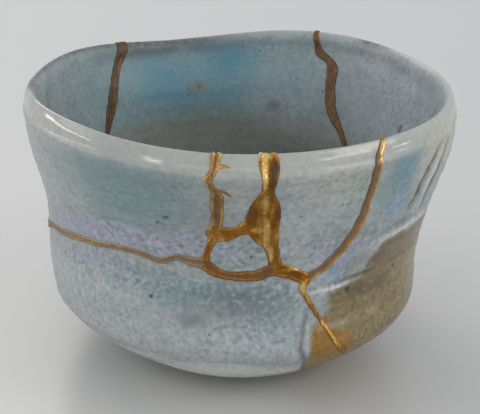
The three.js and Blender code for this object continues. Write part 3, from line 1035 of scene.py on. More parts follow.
def paint(piece: bpy.types.Object, name: str, values: np.ndarray) -> None:
    """Stores a value at each point of a mesh, for its material to read."""
    attribute = piece.data.attributes.new(name, "FLOAT", "POINT")
    attribute.data.foreach_set("value", values.astype(np.float32))


# --- The glaze -------------------------------------------------------------------------------------


class Tint(Enum):
    """A colour that the glaze takes where it runs thick or thin, and painted light and shade: its
    attribute, colour and mottle.
    """

    MILK = ("milk", "#b3b7b6", 0.35)
    CREAM = ("cream", "#c6c2b4", 0.2)
    # painted light: paler glaze that stands in for highlights on ridges and for light on the bowl's bottom
    WHITE = ("white", "#dcdedb", 0.2)
    TEAL = ("teal", "#7e979b", 0.45)
    TURQUOISE = ("turquoise", "#438698", 0.45)
    LILAC = ("lilac", "#a0a3b0", 0.6)
    BLUE = ("blue", "#7d9dbd", 0.6)
    OLIVE = ("olive", "#83734c", 0.3)
    BROWN = ("brown", "#65503a", 0.8)
    OCHRE = ("ochre", "#946a20", 0.35)
    SHADE = ("shade", "#484a4b", 0.7)


@dataclass(frozen=True)
class Patch:
    """A soft patch of one tint on the wall."""

    tint: Tint
    angle: float
    height: float
    half_angle: float  # degrees
    half_height: float  # mm
    strength: float = 1.0
    soft: float = 0.5
    slope: float = 0.0  # mm up per degree
    side: Side = Side.OUTSIDE

    def mask(self, angle: np.ndarray, height: np.ndarray) -> np.ndarray:
        """Share of the tint at each place, 0 to 1."""
        away = (angle - self.angle + 540.0) % 360.0 - 180.0
        up = height - self.height - self.slope * away
        reach = np.hypot(away / self.half_angle, up / self.half_height)
        return self.strength * smoothstep(1.0 + self.soft, 1.0 - self.soft, reach)


@dataclass(frozen=True)
class Area:
    """A part of the outside with an outline of its own, given as angles and heights."""

    corners: tuple[tuple[float, float], ...]

    def depth(self, angle: np.ndarray, height: np.ndarray) -> np.ndarray:
        """How far inside the area each place lies, in mm; below 0 is outside it."""
        corners = np.array(self.corners) * np.array([MM_PER_DEGREE, 1.0])
        x = ((angle - 180.0) % 360.0 + 180.0) * MM_PER_DEGREE
        nearest = np.full(x.shape, 1e3)
        for start, end in zip(corners, np.roll(corners, -1, axis=0)):
            nearest = np.minimum(nearest, to_segment(x, height, start, end)[1])
        return np.where(inside_outline(x, height, corners), nearest, -nearest)


OUT, IN = Side.OUTSIDE, Side.INSIDE

GLAZE_PATCHES: tuple[Patch, ...] = (
    # outside, the flare
    Patch(Tint.MILK, 205, 61, 20, 17, 0.6),
    Patch(Tint.MILK, 226, 72, 22, 4, 0.5),
    Patch(Tint.MILK, 286, 60, 9, 12, 0.5),
    Patch(Tint.CREAM, 331, 66, 13, 10, 0.7),
    Patch(Tint.CREAM, 293, 66, 9, 7, 0.35, 0.8),
    Patch(Tint.CREAM, 270, 66, 5, 7, 0.3, 0.8),
    Patch(Tint.TEAL, 245, 62, 13, 10, 0.95, 0.6),
    Patch(Tint.TEAL, 312, 61, 7, 10, 0.7),
    Patch(Tint.TURQUOISE, 313, 64, 4, 6, 0.45, 0.8),
    Patch(Tint.BLUE, 313, 53.5, 3, 3, 0.6, 0.7),
    Patch(Tint.BLUE, 300, 39.5, 7, 2.5, 0.4, 0.8),
    Patch(Tint.BLUE, 316, 59, 2, 5, 0.3, 0.8),
    Patch(Tint.LILAC, 238, 47.0, 30, 4, 0.9, 0.6, 0.05),
    Patch(Tint.LILAC, 300, 44, 10, 4.5, 0.6, 0.6),
    Patch(Tint.SHADE, 317, 47, 5, 1.5, 0.5, 0.8, 0.1),
    Patch(Tint.SHADE, 300, 47.5, 12, 3.5, 0.25, 0.8),
    # outside, along the groove and in the thin glaze
    Patch(Tint.BLUE, 298, 35.9, 4, 1.0, 0.5, 0.8, 0.05),
    Patch(Tint.OLIVE, 304, 38.6, 4, 3, 0.4, 0.8),
    Patch(Tint.BROWN, 307, 31.0, 6, 2.2, 0.8, 0.7),
    Patch(Tint.BROWN, 317, 31.5, 5, 2.6, 0.8, 0.7),
    Patch(Tint.BROWN, 312, 39.5, 3.5, 1.6, 0.8, 0.7),
    Patch(Tint.BROWN, 338, 18, 8, 3, 0.6, 0.7, 0.3),
    # outside, below the waist
    Patch(Tint.MILK, 222, 28, 34, 9, 0.6),
    Patch(Tint.MILK, 262, 20, 34, 8, 0.6),
    # painted light: paler glaze low on the front, which stands in for the light that reaches the bottom
    Patch(Tint.WHITE, 256, 9.5, 42, 5.5, 1.0, 0.5),
    Patch(Tint.TEAL, 256, 36, 24, 3.2, 0.7, 0.6, -0.05),
    Patch(Tint.TEAL, 280, 28, 7, 5, 0.5, 0.8),
    Patch(Tint.LILAC, 228, 38, 12, 3, 0.6, 0.7),
    Patch(Tint.SHADE, 271, 33, 9, 4, 0.45, 0.8, -0.1),
    Patch(Tint.SHADE, 257.5, 28.8, 3, 1.6, 0.45, 0.8),
    Patch(Tint.OLIVE, 232, 12, 20, 1.2, 0.5, 0.6),
    # outside, the far sides
    Patch(Tint.MILK, 150, 24, 40, 16, 0.7),
    Patch(Tint.MILK, 60, 26, 30, 14, 0.6),
    Patch(Tint.TEAL, 170, 56, 22, 10, 0.6),
    Patch(Tint.TEAL, 95, 58, 22, 10, 0.7),
    Patch(Tint.MILK, 45, 62, 26, 10, 0.6),
    Patch(Tint.LILAC, 80, 43, 50, 3.5, 0.6, 0.6),
    Patch(Tint.LILAC, 165, 43, 26, 3.5, 0.6, 0.6),
    Patch(Tint.OLIVE, 8, 22, 20, 12, 0.5, 0.8),
    Patch(Tint.BROWN, 20, 14, 14, 4, 0.35, 0.8),
    # inside
    Patch(Tint.TEAL, 112, 60, 46, 16, 0.9, 0.6, side=IN),
    Patch(Tint.TURQUOISE, 119, 63, 11, 6, 0.8, 0.9, side=IN),
    Patch(Tint.TURQUOISE, 93, 66, 9, 4.5, 0.75, 0.9, side=IN),
    Patch(Tint.TURQUOISE, 106, 57, 16, 6, 0.5, 0.9, side=IN),
    Patch(Tint.LILAC, 76, 53, 12, 4, 0.35, 0.7, side=IN),
    Patch(Tint.LILAC, 28, 58, 18, 10, 0.35, 0.7, side=IN),
    # partly olive glaze, partly painted shade: darker, browner glaze low inside the back
    Patch(Tint.OLIVE, 100, 43, 60, 8, 0.5, 0.6, side=IN),
    Patch(Tint.OLIVE, 105, 58, 3, 1.8, 0.55, 0.7, side=IN),
    Patch(Tint.BROWN, 76, 52.5, 2.4, 1.2, 0.5, 0.8, side=IN),
    Patch(Tint.SHADE, 52, 52, 10, 8, 0.2, 0.8, side=IN),
    Patch(Tint.SHADE, 116, 72.5, 22, 3.0, 0.7, 0.6, side=IN),
    Patch(Tint.SHADE, 46, 74.0, 6, 1.8, 0.8, 0.6, side=IN),
    Patch(Tint.TEAL, 270, 50, 60, 22, 0.5, 0.6, side=IN),
)

THIN_GLAZE = Area(
    (
        (295.0, 32.6), (296.2, 29.0), (294.4, 25.6), (291.6, 24.4), (289.6, 20.0), (290.4, 13.0),
        (295.0, 2.0), (352.0, 2.0), (356.0, 24.0), (350.0, 43.6), (330.0, 44.2), (315.0, 43.6),
        (309.0, 41.5), (307.0, 36.0), (300.0, 34.4),
    )
)
IRON_WASH = Area(
    (
        (310.0, 41.2), (316.0, 43.2), (334.0, 43.4), (352.0, 43.0), (352.0, 37.6), (330.0, 37.6),
        (312.0, 37.0),
    )
)
OCHRE_POOL = Area(
    ((291.5, 25.0), (296.0, 25.5), (303.5, 20.5), (306.0, 12.0), (303.0, 7.0), (293.0, 8.0), (289.2, 17.0))
)
# The thick roll that the pale glaze ends in, beside the thin glaze, from the bottom up.
ROLL = (
    (294.6, 6.0), (291.0, 11.0), (288.4, 17.0), (287.0, 20.0), (287.5, 23.0), (288.6, 26.0),
    (290.0, 29.0),
)


@dataclass(frozen=True)
class Places:
    """Places on the bowl, with the noise that the edges of the glaze wander by."""

    angle: np.ndarray
    run: np.ndarray
    points: np.ndarray
    outside: np.ndarray
    fine: np.ndarray  # in bumps of 2.5 mm, about -0.5 to 0.5
    blur: np.ndarray  # degrees, in bumps of 11 mm

    @classmethod
    def on(cls, form: BowlForm, angle: np.ndarray, run: np.ndarray, points: np.ndarray) -> Places:
        """Adds the noise to the places."""
        fine, blur = 0.5 * fractal_noise(points, 2.5, 53), 3.0 * fractal_noise(points, 11.0, 41)
        return cls(angle, run, points, run < form.crest, fine, blur)

    @property
    def height(self) -> np.ndarray:
        """Heights in mm."""
        return self.points[:, 2]


@dataclass(frozen=True)
class Glaze:
    """How the glaze lies on the bowl: patches of tints, thin glaze, crystals, pits and the lip."""

    form: BowlForm
    patches: tuple[Patch, ...] = GLAZE_PATCHES

    def masks(self, angle: np.ndarray, run: np.ndarray, points: np.ndarray) -> dict[str, np.ndarray]:
        """Works out every mask of the glaze.

        Args:
            angle: Angles in degrees.
            run: Places along the profile.
            points: The same places in space, in mm.

        Returns:
            Values from 0 to 1 by attribute name.
        """
        at = Places.on(self.form, angle, run, points)
        shares = self._patches(at)
        thin = self._thin_side(shares, at)
        lip = self._lip(shares, at)
        self._lines(shares, at)
        first = self.form.first_run
        named = {tint.value[0]: share for tint, share in shares.items()}
        return named | {
            "crystals": self._crystals(at) * (1.0 - thin) * (1.0 - 0.8 * lip),
            "thin": thin * (1.0 - 0.7 * shares[Tint.OCHRE]),
            "gloss": np.maximum(lip**3, 0.6 * thin),
            "calm": lip,
            "bare": smoothstep(-0.2, -0.8, run) * smoothstep(first + 1.2, first + 1.8, run),
            "pits": self.form.pit_depth(angle, at.height, run),
        }

    def _patches(self, at: Places) -> dict[Tint, np.ndarray]:
        """Lays the patches of each tint over each other."""
        angle, height = at.angle + at.blur, at.height + 1.8 * fractal_noise(at.points, 8.0, 47)
        clear = {tint: np.ones(len(angle)) for tint in Tint}
        for patch in self.patches:
            here = at.outside if patch.side is Side.OUTSIDE else ~at.outside
            clear[patch.tint] *= 1.0 - here * patch.mask(angle, height)
        return {tint: 1.0 - left for tint, left in clear.items()}

    def _thin_side(self, shares: dict[Tint, np.ndarray], at: Places) -> np.ndarray:
        """Turns the glaze olive, brown and ochre on the side where it is thin.

        Args:
            shares: Share of each tint, changed in place.
            at: The places.

        Returns:
            How thin the glaze is, 0 to 1.
        """
        fine, blur = at.fine, at.blur
        wander = np.where(at.angle < 306.0, 1.6, 3.0) * fine
        fade = at.outside * smoothstep(354.0, 334.0, at.angle + 3.0 * blur)
        deep = THIN_GLAZE.depth(at.angle + wander + 0.5 * blur, at.height + wander)
        thin = fade * smoothstep(-0.6, 1.2, deep)
        deep = IRON_WASH.depth(at.angle + blur, at.height + 2.4 * fine)
        wash = fade * smoothstep(-1.4, 1.4, deep)
        deep = OCHRE_POOL.depth(at.angle + 0.4 * blur, at.height + 2.0 * fine)
        pool = at.outside * smoothstep(-1.2, 2.0, deep)
        streaks = smoothstep(0.1, 0.6, lattice_noise(at.points * np.array([1.0, 1.0, 4.0]), 9.0, 61))
        for tint in (Tint.MILK, Tint.CREAM, Tint.TEAL, Tint.LILAC, Tint.TURQUOISE):
            shares[tint] *= 1.0 - thin
        shares[Tint.OLIVE] = np.maximum(shares[Tint.OLIVE] * (1.0 - pool), thin)
        shares[Tint.BROWN] = np.maximum(shares[Tint.BROWN], np.maximum(0.5 * wash, 0.5 * thin * streaks))
        shares[Tint.OCHRE] = np.maximum(shares[Tint.OCHRE], pool)
        return thin

    def _lip(self, shares: dict[Tint, np.ndarray], at: Places) -> np.ndarray:
        """Turns the glaze milky on the lip, and scorches its far left.

        Args:
            shares: Share of each tint, changed in place.
            at: The places.

        Returns:
            1 on the lip and 0 away from it.
        """
        crest = self.form.crest
        lip = smoothstep(5.6, 7.4, at.run) * smoothstep(crest + 1.8, crest + 0.2, at.run)
        scorched = smoothstep(112.0, 124.0, at.angle) * smoothstep(210.0, 198.0, at.angle)
        inner_end = smoothstep(crest + 1.5, crest + 0.7, at.run + at.fine)
        scorched *= smoothstep(crest - 1.2, crest - 0.4, at.run) * inner_end
        spotted = scorched * (0.7 + 0.3 * np.clip(3.0 * at.fine, -1.0, 1.0))
        shares[Tint.SHADE] = np.maximum(shares[Tint.SHADE], spotted)
        shares[Tint.CREAM] = np.maximum(shares[Tint.CREAM], 0.6 * lip * (1.0 - scorched))
        for tint in (Tint.TEAL, Tint.TURQUOISE):
            shares[tint] *= 1.0 - 0.8 * lip
        return lip

    def _lines(self, shares: dict[Tint, np.ndarray], at: Places) -> None:
        """Paints shade into grooves, darkens the glaze where it ends in a roll, and paints highlights on
        ridges.
        """
        for groove in self.form.grooves:
            # painted shade in each groove and painted highlight on each ridge
            if groove.painted_shading > 0.0:
                tint = Tint.SHADE if groove.depth > 0.0 else Tint.WHITE
                painted_shading = groove.painted_shading * at.outside * groove.share(at.angle + at.fine, at.height)
                shares[tint] = np.maximum(shares[tint], painted_shading)
        line = np.interp(at.height, [point[1] for point in ROLL], [point[0] for point in ROLL])
        roll = np.exp(-(((at.angle + at.fine - line) * MM_PER_DEGREE / 0.75) ** 2)) * at.outside
        roll *= smoothstep(30.5, 27.0, at.height) * smoothstep(4.0, 7.0, at.height)
        shares[Tint.SHADE] = np.maximum(shares[Tint.SHADE], 0.75 * roll)

    def _crystals(self, at: Places) -> np.ndarray:
        """How thickly crystals lie: most beside the waist at the front, and few inside."""
        band = at.height + 1.8 * at.fine
        frost = np.exp(-(((band - 46.5) / 4.0) ** 2)) + 0.9 * np.exp(-(((band - 36.0) / 3.5) ** 2))
        frost *= 0.6 + 0.4 * np.exp(-(((at.angle - 262.0) / 30.0) ** 2))
        frost += 0.7 * np.exp(-((((at.angle - 276.0) / 12.0) ** 2 + ((at.height - 26.0) / 8.0) ** 2)))
        return np.where(at.outside, np.minimum(0.28 + frost, 1.0), 0.2)


def linear(colour: str) -> tuple[float, float, float, float]:
    """Turns an sRGB hex colour into linear red, green, blue and alpha."""
    parts = [int(colour[i : i + 2], 16) / 255.0 for i in (1, 3, 5)]
    red, green, blue = (p / 12.92 if p <= 0.04045 else ((p + 0.055) / 1.055) ** 2.4 for p in parts)
    return red, green, blue, 1.0


def add_node(
    tree: bpy.types.NodeTree, kind: str, inputs: dict[int | str, Any] | None = None, **settings: Any
) -> bpy.types.Node:
    """Adds a node with its settings and links.

    Args:
        tree: The tree to add it to.
        kind: Blender's name of the kind of node.
        inputs: A value, a socket or another node for each input, by its name or number.
        settings: The node's own properties.

    Returns:
        The new node.
    """
    node = tree.nodes.new(kind)
    for name, value in settings.items():
        setattr(node, name, value)
    for key, value in (inputs or {}).items():
        if isinstance(value, bpy.types.Node):
            value = next(socket for socket in value.outputs if socket.enabled)
        if isinstance(value, bpy.types.NodeSocket):
            tree.links.new(value, node.inputs[key])
        else:
            node.inputs[key].default_value = value
    return node


def calculate(
    tree: bpy.types.NodeTree, operation: str, *values: Any, clamp: bool = False
) -> bpy.types.Node:
    """Adds a node that works out one number from others."""
    return add_node(tree, "ShaderNodeMath", dict(enumerate(values)), operation=operation, use_clamp=clamp)


def blend(tree: bpy.types.NodeTree, share: Any, lower: Any, upper: Any, **settings: Any) -> bpy.types.Node:
    """Adds a node that lays a share of the upper colour over the lower one."""
    return add_node(tree, "ShaderNodeMix", {0: share, 6: lower, 7: upper}, data_type="RGBA", **settings)


def spread(
    tree: bpy.types.NodeTree,
    value: Any,
    source: tuple[float, float],
    target: tuple[float, float] = (0.0, 1.0),
    kind: str = "LINEAR",
) -> bpy.types.Node:
    """Adds a node that spreads one range of a value over another range."""
    inputs = dict(enumerate((value, *source, *target)))
    return add_node(tree, "ShaderNodeMapRange", inputs, interpolation_type=kind)


@dataclass(frozen=True)
class Finish:
    """A surface finish, which becomes one material."""

    def material(self, name: str) -> bpy.types.Material:
        """Makes the material around the finish's own shader."""
        material = bpy.data.materials.new(name)
        material.use_nodes = True
        tree = material.node_tree
        tree.nodes.clear()
        add_node(tree, "ShaderNodeOutputMaterial", {"Surface": self.shader(tree)})
        return material

    def shader(self, tree: bpy.types.NodeTree) -> bpy.types.Node:
        """Fills the tree and returns its shader; each kind of finish has its own."""
        raise NotImplementedError

    def grains(
        self, tree: bpy.types.NodeTree, sizes: dict[str, tuple[float, float, float]]
    ) -> dict[str, bpy.types.NodeSocket]:
        """Adds the noises that the finish is drawn with.

        Args:
            tree: The tree to add them to.
            sizes: Size in mm, number of finer layers and upright squeeze of each noise, by its name.

        Returns:
            Each noise's value, about 0.3 to 0.7.
        """
        place = add_node(tree, "ShaderNodeTexCoord").outputs["Object"]
        found = {}
        for label, (size, detail, squeeze) in sizes.items():
            inputs = {0: place, 1: (1.0, 1.0, squeeze)}
            squeezed = add_node(tree, "ShaderNodeVectorMath", inputs, operation="MULTIPLY")
            inputs = {"Vector": squeezed, "Scale": 1.0 / (size * MM), "Detail": detail, "Roughness": 0.6}
            found[label] = add_node(tree, "ShaderNodeTexNoise", inputs).outputs["Fac"]
        return found

    def masks(self, tree: bpy.types.NodeTree, *labels: str) -> dict[str, bpy.types.NodeSocket]:
        """Adds a reader for each mask painted on a piece, by its name."""
        found = {}
        for label in labels:
            found[label] = add_node(tree, "ShaderNodeAttribute", attribute_name=label).outputs["Fac"]
        return found


@dataclass(frozen=True)
class GlazedStoneware(Finish):
    """Thrown stoneware under a milky feldspar glaze, fired glossy at the lip and satin on the wall.

    The glaze is thick and opaque over most of the bowl, so it hides the clay and shows clouds of pale
    grey, lilac and blue. Small crystals make it look frosted where it ran thickest, and it turns olive
    and brown where it is thin enough for the clay's iron to come through.
    """

    base: str = "#959d9c"
    pale: str = "#a5acab"
    bare_clay: str = "#8d7763"
    iron: str = "#4b4640"
    pit: str = "#1d1916"
    veils: tuple[str, str] = ("#eef8f4", "#faf4fc")
    clouds: float = 7.0  # mm
    blotch: float = 3.2  # mm
    mottle: float = 1.3  # mm
    frost: float = 1.3  # mm; real crystals are about half as wide, which would not show
    iron_spacing: float = 3.2  # mm
    # Where each kind of fleck shows: its mask, the frost's range, its strength and colour.
    flecks: tuple[tuple[str, float, float, float, str], ...] = (
        ("crystals", 0.48, 0.3, 0.42, "#55656c"),
        ("crystals", 0.48, 0.72, 0.5, "#c2cad0"),
        ("thin", 0.5, 0.32, 0.6, "#4c3d28"),
        ("thin", 0.52, 0.7, 0.4, "#a59a78"),
    )

    def shader(self, tree: bpy.types.NodeTree) -> bpy.types.Node:
        """Lays clouds, tints, flecks of crystal, iron specks and bare clay over each other."""
        noise = self.grains(
            tree,
            {
                "clouds": (self.clouds, 4.0, 1.0),
                "blotch": (self.blotch, 2.0, 1.0),
                "mottle": (self.mottle, 3.0, 1.0),
                "frost": (self.frost, 3.0, 1.0),
            },
        )
        labels = [tint.value[0] for tint in Tint] + ["crystals", "thin", "gloss", "calm", "bare", "pits"]
        painted = self.masks(tree, *labels)
        layers = []
        for tint in Tint:
            label, tone, tear = tint.value
            torn = calculate(tree, "MULTIPLY_ADD", noise["mottle"], 4.0 * tear, 1.0 - 2.0 * tear)
            layers.append((calculate(tree, "MULTIPLY", painted[label], torn, clamp=True), tone))
        cloudy = spread(tree, noise["clouds"], (0.35, 0.65), kind="SMOOTHSTEP")
        colour = self._laid(tree, linear(self.base), [(cloudy, self.pale), *layers])

        veil = blend(tree, noise["blotch"], *(linear(tone) for tone in self.veils))
        colour = blend(tree, 1.0, colour, veil, blend_type="MULTIPLY")
        swing = spread(tree, painted["calm"], (0.0, 1.0), (0.8, 0.2))
        middle = calculate(tree, "SUBTRACT", noise["mottle"], 0.475)
        value = calculate(tree, "MULTIPLY_ADD", middle, swing, 1.0)
        colour = add_node(tree, "ShaderNodeVectorMath", {0: colour, "Scale": value}, operation="SCALE")

        layers = []
        for label, low, high, strength, tone in self.flecks:
            flecked = spread(tree, noise["frost"], (low, high), (0.0, strength), "SMOOTHSTEP")
            layers.append((calculate(tree, "MULTIPLY", flecked, painted[label]), tone))
        frosted = layers[1][0]  # the pale crystals
        inputs = {"Scale": 1.0 / (self.iron_spacing * MM)}
        inputs["Vector"] = add_node(tree, "ShaderNodeTexCoord").outputs["Object"]
        specks = add_node(tree, "ShaderNodeTexVoronoi", inputs)
        rare = calculate(tree, "GREATER_THAN", specks.outputs["Color"], 0.72)
        dots = spread(tree, specks.outputs["Distance"], (0.13, 0.06), (0.0, 0.7), "SMOOTHSTEP")
        layers.append((calculate(tree, "MULTIPLY", dots, rare), self.iron))
        layers += [(painted["bare"], self.bare_clay), (painted["pits"], self.pit)]
        colour = self._laid(tree, colour, layers)

        rough = spread(tree, painted["gloss"], (0.0, 1.0), (0.4, 0.07))
        for value, weight in ((noise["mottle"], 0.1), (frosted, 0.2)):
            rough = calculate(tree, "MULTIPLY_ADD", value, weight, rough)
        rough = calculate(tree, "MULTIPLY_ADD", painted["bare"], 0.5, rough, clamp=True)
        relief = calculate(tree, "MULTIPLY_ADD", frosted, 0.8, noise["mottle"])
        relief = calculate(tree, "MULTIPLY", relief, swing)
        bump = add_node(tree, "ShaderNodeBump", {"Height": relief, "Distance": 0.06 * MM, "Strength": 0.6})
        inputs = {"Base Color": colour, "Roughness": rough, "Normal": bump, "IOR": 1.52}
        return add_node(tree, "ShaderNodeBsdfPrincipled", inputs)

    def _laid(self, tree: bpy.types.NodeTree, colour: Any, layers: list[tuple[Any, str]]) -> Any:
        """Lays colours over one another.

        Args:
            tree: The tree to add to.
            colour: The lowest colour, or the node that makes it.
            layers: Share and colour of each layer, from the lowest up.

        Returns:
            The node that makes the top colour.
        """
        for share, tone in layers:
            colour = blend(tree, share, colour, linear(tone))
        return colour


@dataclass(frozen=True)
class GoldDustedLacquer(Finish):
    """Brown urushi lacquer dusted with fine gold powder and burnished.

    The burnished ridges shine like metal. The powder is thinner in the hollows and along the edges,
    where the lacquer shows through as a deep brown, and rubbed seams have gone a dull tan. Some
    highlights and shade are painted into its tone as well.
    """

    tones: tuple[tuple[float, str], ...] = (
        (0.05, "#4b331c"),
        (0.3, "#81521f"),
        (0.58, "#b17b31"),
        (0.9, "#efcd86"),
    )
    rubbed: str = "#887c69"
    grain: float = 0.5  # mm; the powder itself is finer than can show
    streak: float = 1.8  # mm across; it is drawn three times as tall

    def shader(self, tree: bpy.types.NodeTree) -> bpy.types.Node:
        """Turns how high each place stands in the seam, how worn it is, and the light and shade painted on
        it, into powder and lacquer.
        """
        noise = self.grains(tree, {"grain": (self.grain, 3.0, 1.0), "streak": (self.streak, 3.0, 0.33)})
        painted = self.masks(tree, "shine", "worn")
        tone = -0.5
        weights = ((painted["shine"], 0.5), (noise["grain"], 0.45), (noise["streak"], 0.75))
        for value, weight in weights:
            tone = calculate(tree, "MULTIPLY_ADD", value, weight, tone)
        ramp = add_node(tree, "ShaderNodeValToRGB", {0: tone})
        for at, _ in self.tones[1:-1]:
            ramp.color_ramp.elements.new(at)
        for element, (at, colour) in zip(ramp.color_ramp.elements, self.tones):
            element.position, element.color = at, linear(colour)
        dulled = calculate(tree, "MULTIPLY", painted["worn"], 0.8)
        colour = blend(tree, dulled, ramp, linear(self.rubbed))
        covered = spread(tree, tone, (0.05, 0.4), (0.3, 1.0))
        metal = calculate(tree, "MULTIPLY_ADD", painted["worn"], -0.5, covered, clamp=True)
        burnished = spread(tree, tone, (0.1, 0.8), (0.46, 0.24))
        rough = calculate(tree, "MULTIPLY_ADD", painted["worn"], 0.12, burnished)
        inputs = {"Height": noise["grain"], "Distance": 0.09 * MM, "Strength": 0.8}
        bump = add_node(tree, "ShaderNodeBump", inputs)
        inputs = {"Base Color": colour, "Metallic": metal, "Roughness": rough, "Normal": bump}
        return add_node(tree, "ShaderNodeBsdfPrincipled", inputs)


@dataclass(frozen=True)
class PressedLaminate(Finish):
    """White laminate, pressed smooth: pale, with a faint soft reflection."""

    colour: str = "#cecdca"

    def shader(self, tree: bpy.types.NodeTree) -> bpy.types.Node:
        """One even colour."""
        inputs = {"Base Color": linear(self.colour), "Roughness": 0.32, "IOR": 1.5}
        return add_node(tree, "ShaderNodeBsdfPrincipled", inputs)


# --- The pieces ------------------------------------------------------------------------------------


@dataclass
class ClayPieces:
    """The thrown clay: the bowl's body and the sherds that broke out of it."""

    form: BowlForm
    glaze: Glaze
    finish: GlazedStoneware
    columns: int = 544  # around the wall; divides by 32
    outside_spacing: float = 0.6
    inside_spacing: float = 1.05
    tuck: float = 0.35  # mm that the gold laps over the clay's edge
    least_gap: float = 0.12

    def skin(self) -> Skin:
        """The whole bowl's skin, with fewer columns where it is narrow."""
        form = self.form
        edges = (form.first_run, 0.0, form.crest + 0.9, form.last_run)
        spacings = (self.outside_spacing, self.outside_spacing, self.inside_spacing)
        parts = [even_runs(form, a, b, s) for a, b, s in zip(edges, edges[1:], spacings)]
        runs = np.concatenate([parts[0], parts[1][1:], parts[2][1:]])
        radius = form.profile(np.full_like(runs, 270.0), runs)[0]
        limits = np.where(runs > form.crest + 0.9, 1.25, 0.75)
        wanted = 2.0 * math.pi * radius / limits
        halvings = np.clip(np.floor(np.log2(self.columns / np.maximum(wanted, 1.0))), 0, 5)
        columns = (self.columns / 2**halvings).astype(int)
        for i in range(1, len(columns)):
            columns[i] = min(columns[i], 2 * columns[i - 1])
        for i in range(len(columns) - 2, -1, -1):
            columns[i] = min(columns[i], 2 * columns[i + 1])
        return Skin.rings(0.0, 360.0, runs, columns)

    def build(
        self, skin: Skin, name: str, around: tuple[tuple[str, bool], ...], within: bool
    ) -> bpy.types.Object:
        """Cuts one piece out of the skin and closes its broken edges.

        Args:
            skin: The whole bowl's skin.
            name: Name of the piece, which the frame uses too.
            around: The breaks around the piece, or around what broke out of it.
            within: Whether the piece is what lies within those breaks.

        Returns:
            The finished piece.
        """
        breaks = tuple(BREAKS[key] for key, _ in around)
        height = self.form.profile(skin.angle, skin.run)[1]
        near = BreakField(breaks).measure(skin.angle, height)
        inside = inside_outline(skin.angle * MM_PER_DEGREE, height, sherd_outline(around))
        away = (near.edge + near.half) * np.where(inside == within, 1.0, -1.0)
        cut = skin.clipped(away - np.maximum(near.half - self.tuck, self.least_gap)).without_specks(20)
        plain = self.form.place(cut.angle, cut.run)
        relief = self.form.relief(cut.angle, cut.run, plain)
        points = plain + self.form.normals(cut.angle, cut.run) * relief[:, None]
        points[:, 2] = np.maximum(points[:, 2], 0.0)
        faces = np.concatenate([cut.faces, cut.break_walls(self.form)])
        piece = finished_mesh(name + "_glazed", points, faces)
        for label, values in self.glaze.masks(cut.angle, cut.run, plain).items():
            paint(piece, label, values)
        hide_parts(name)
        return piece


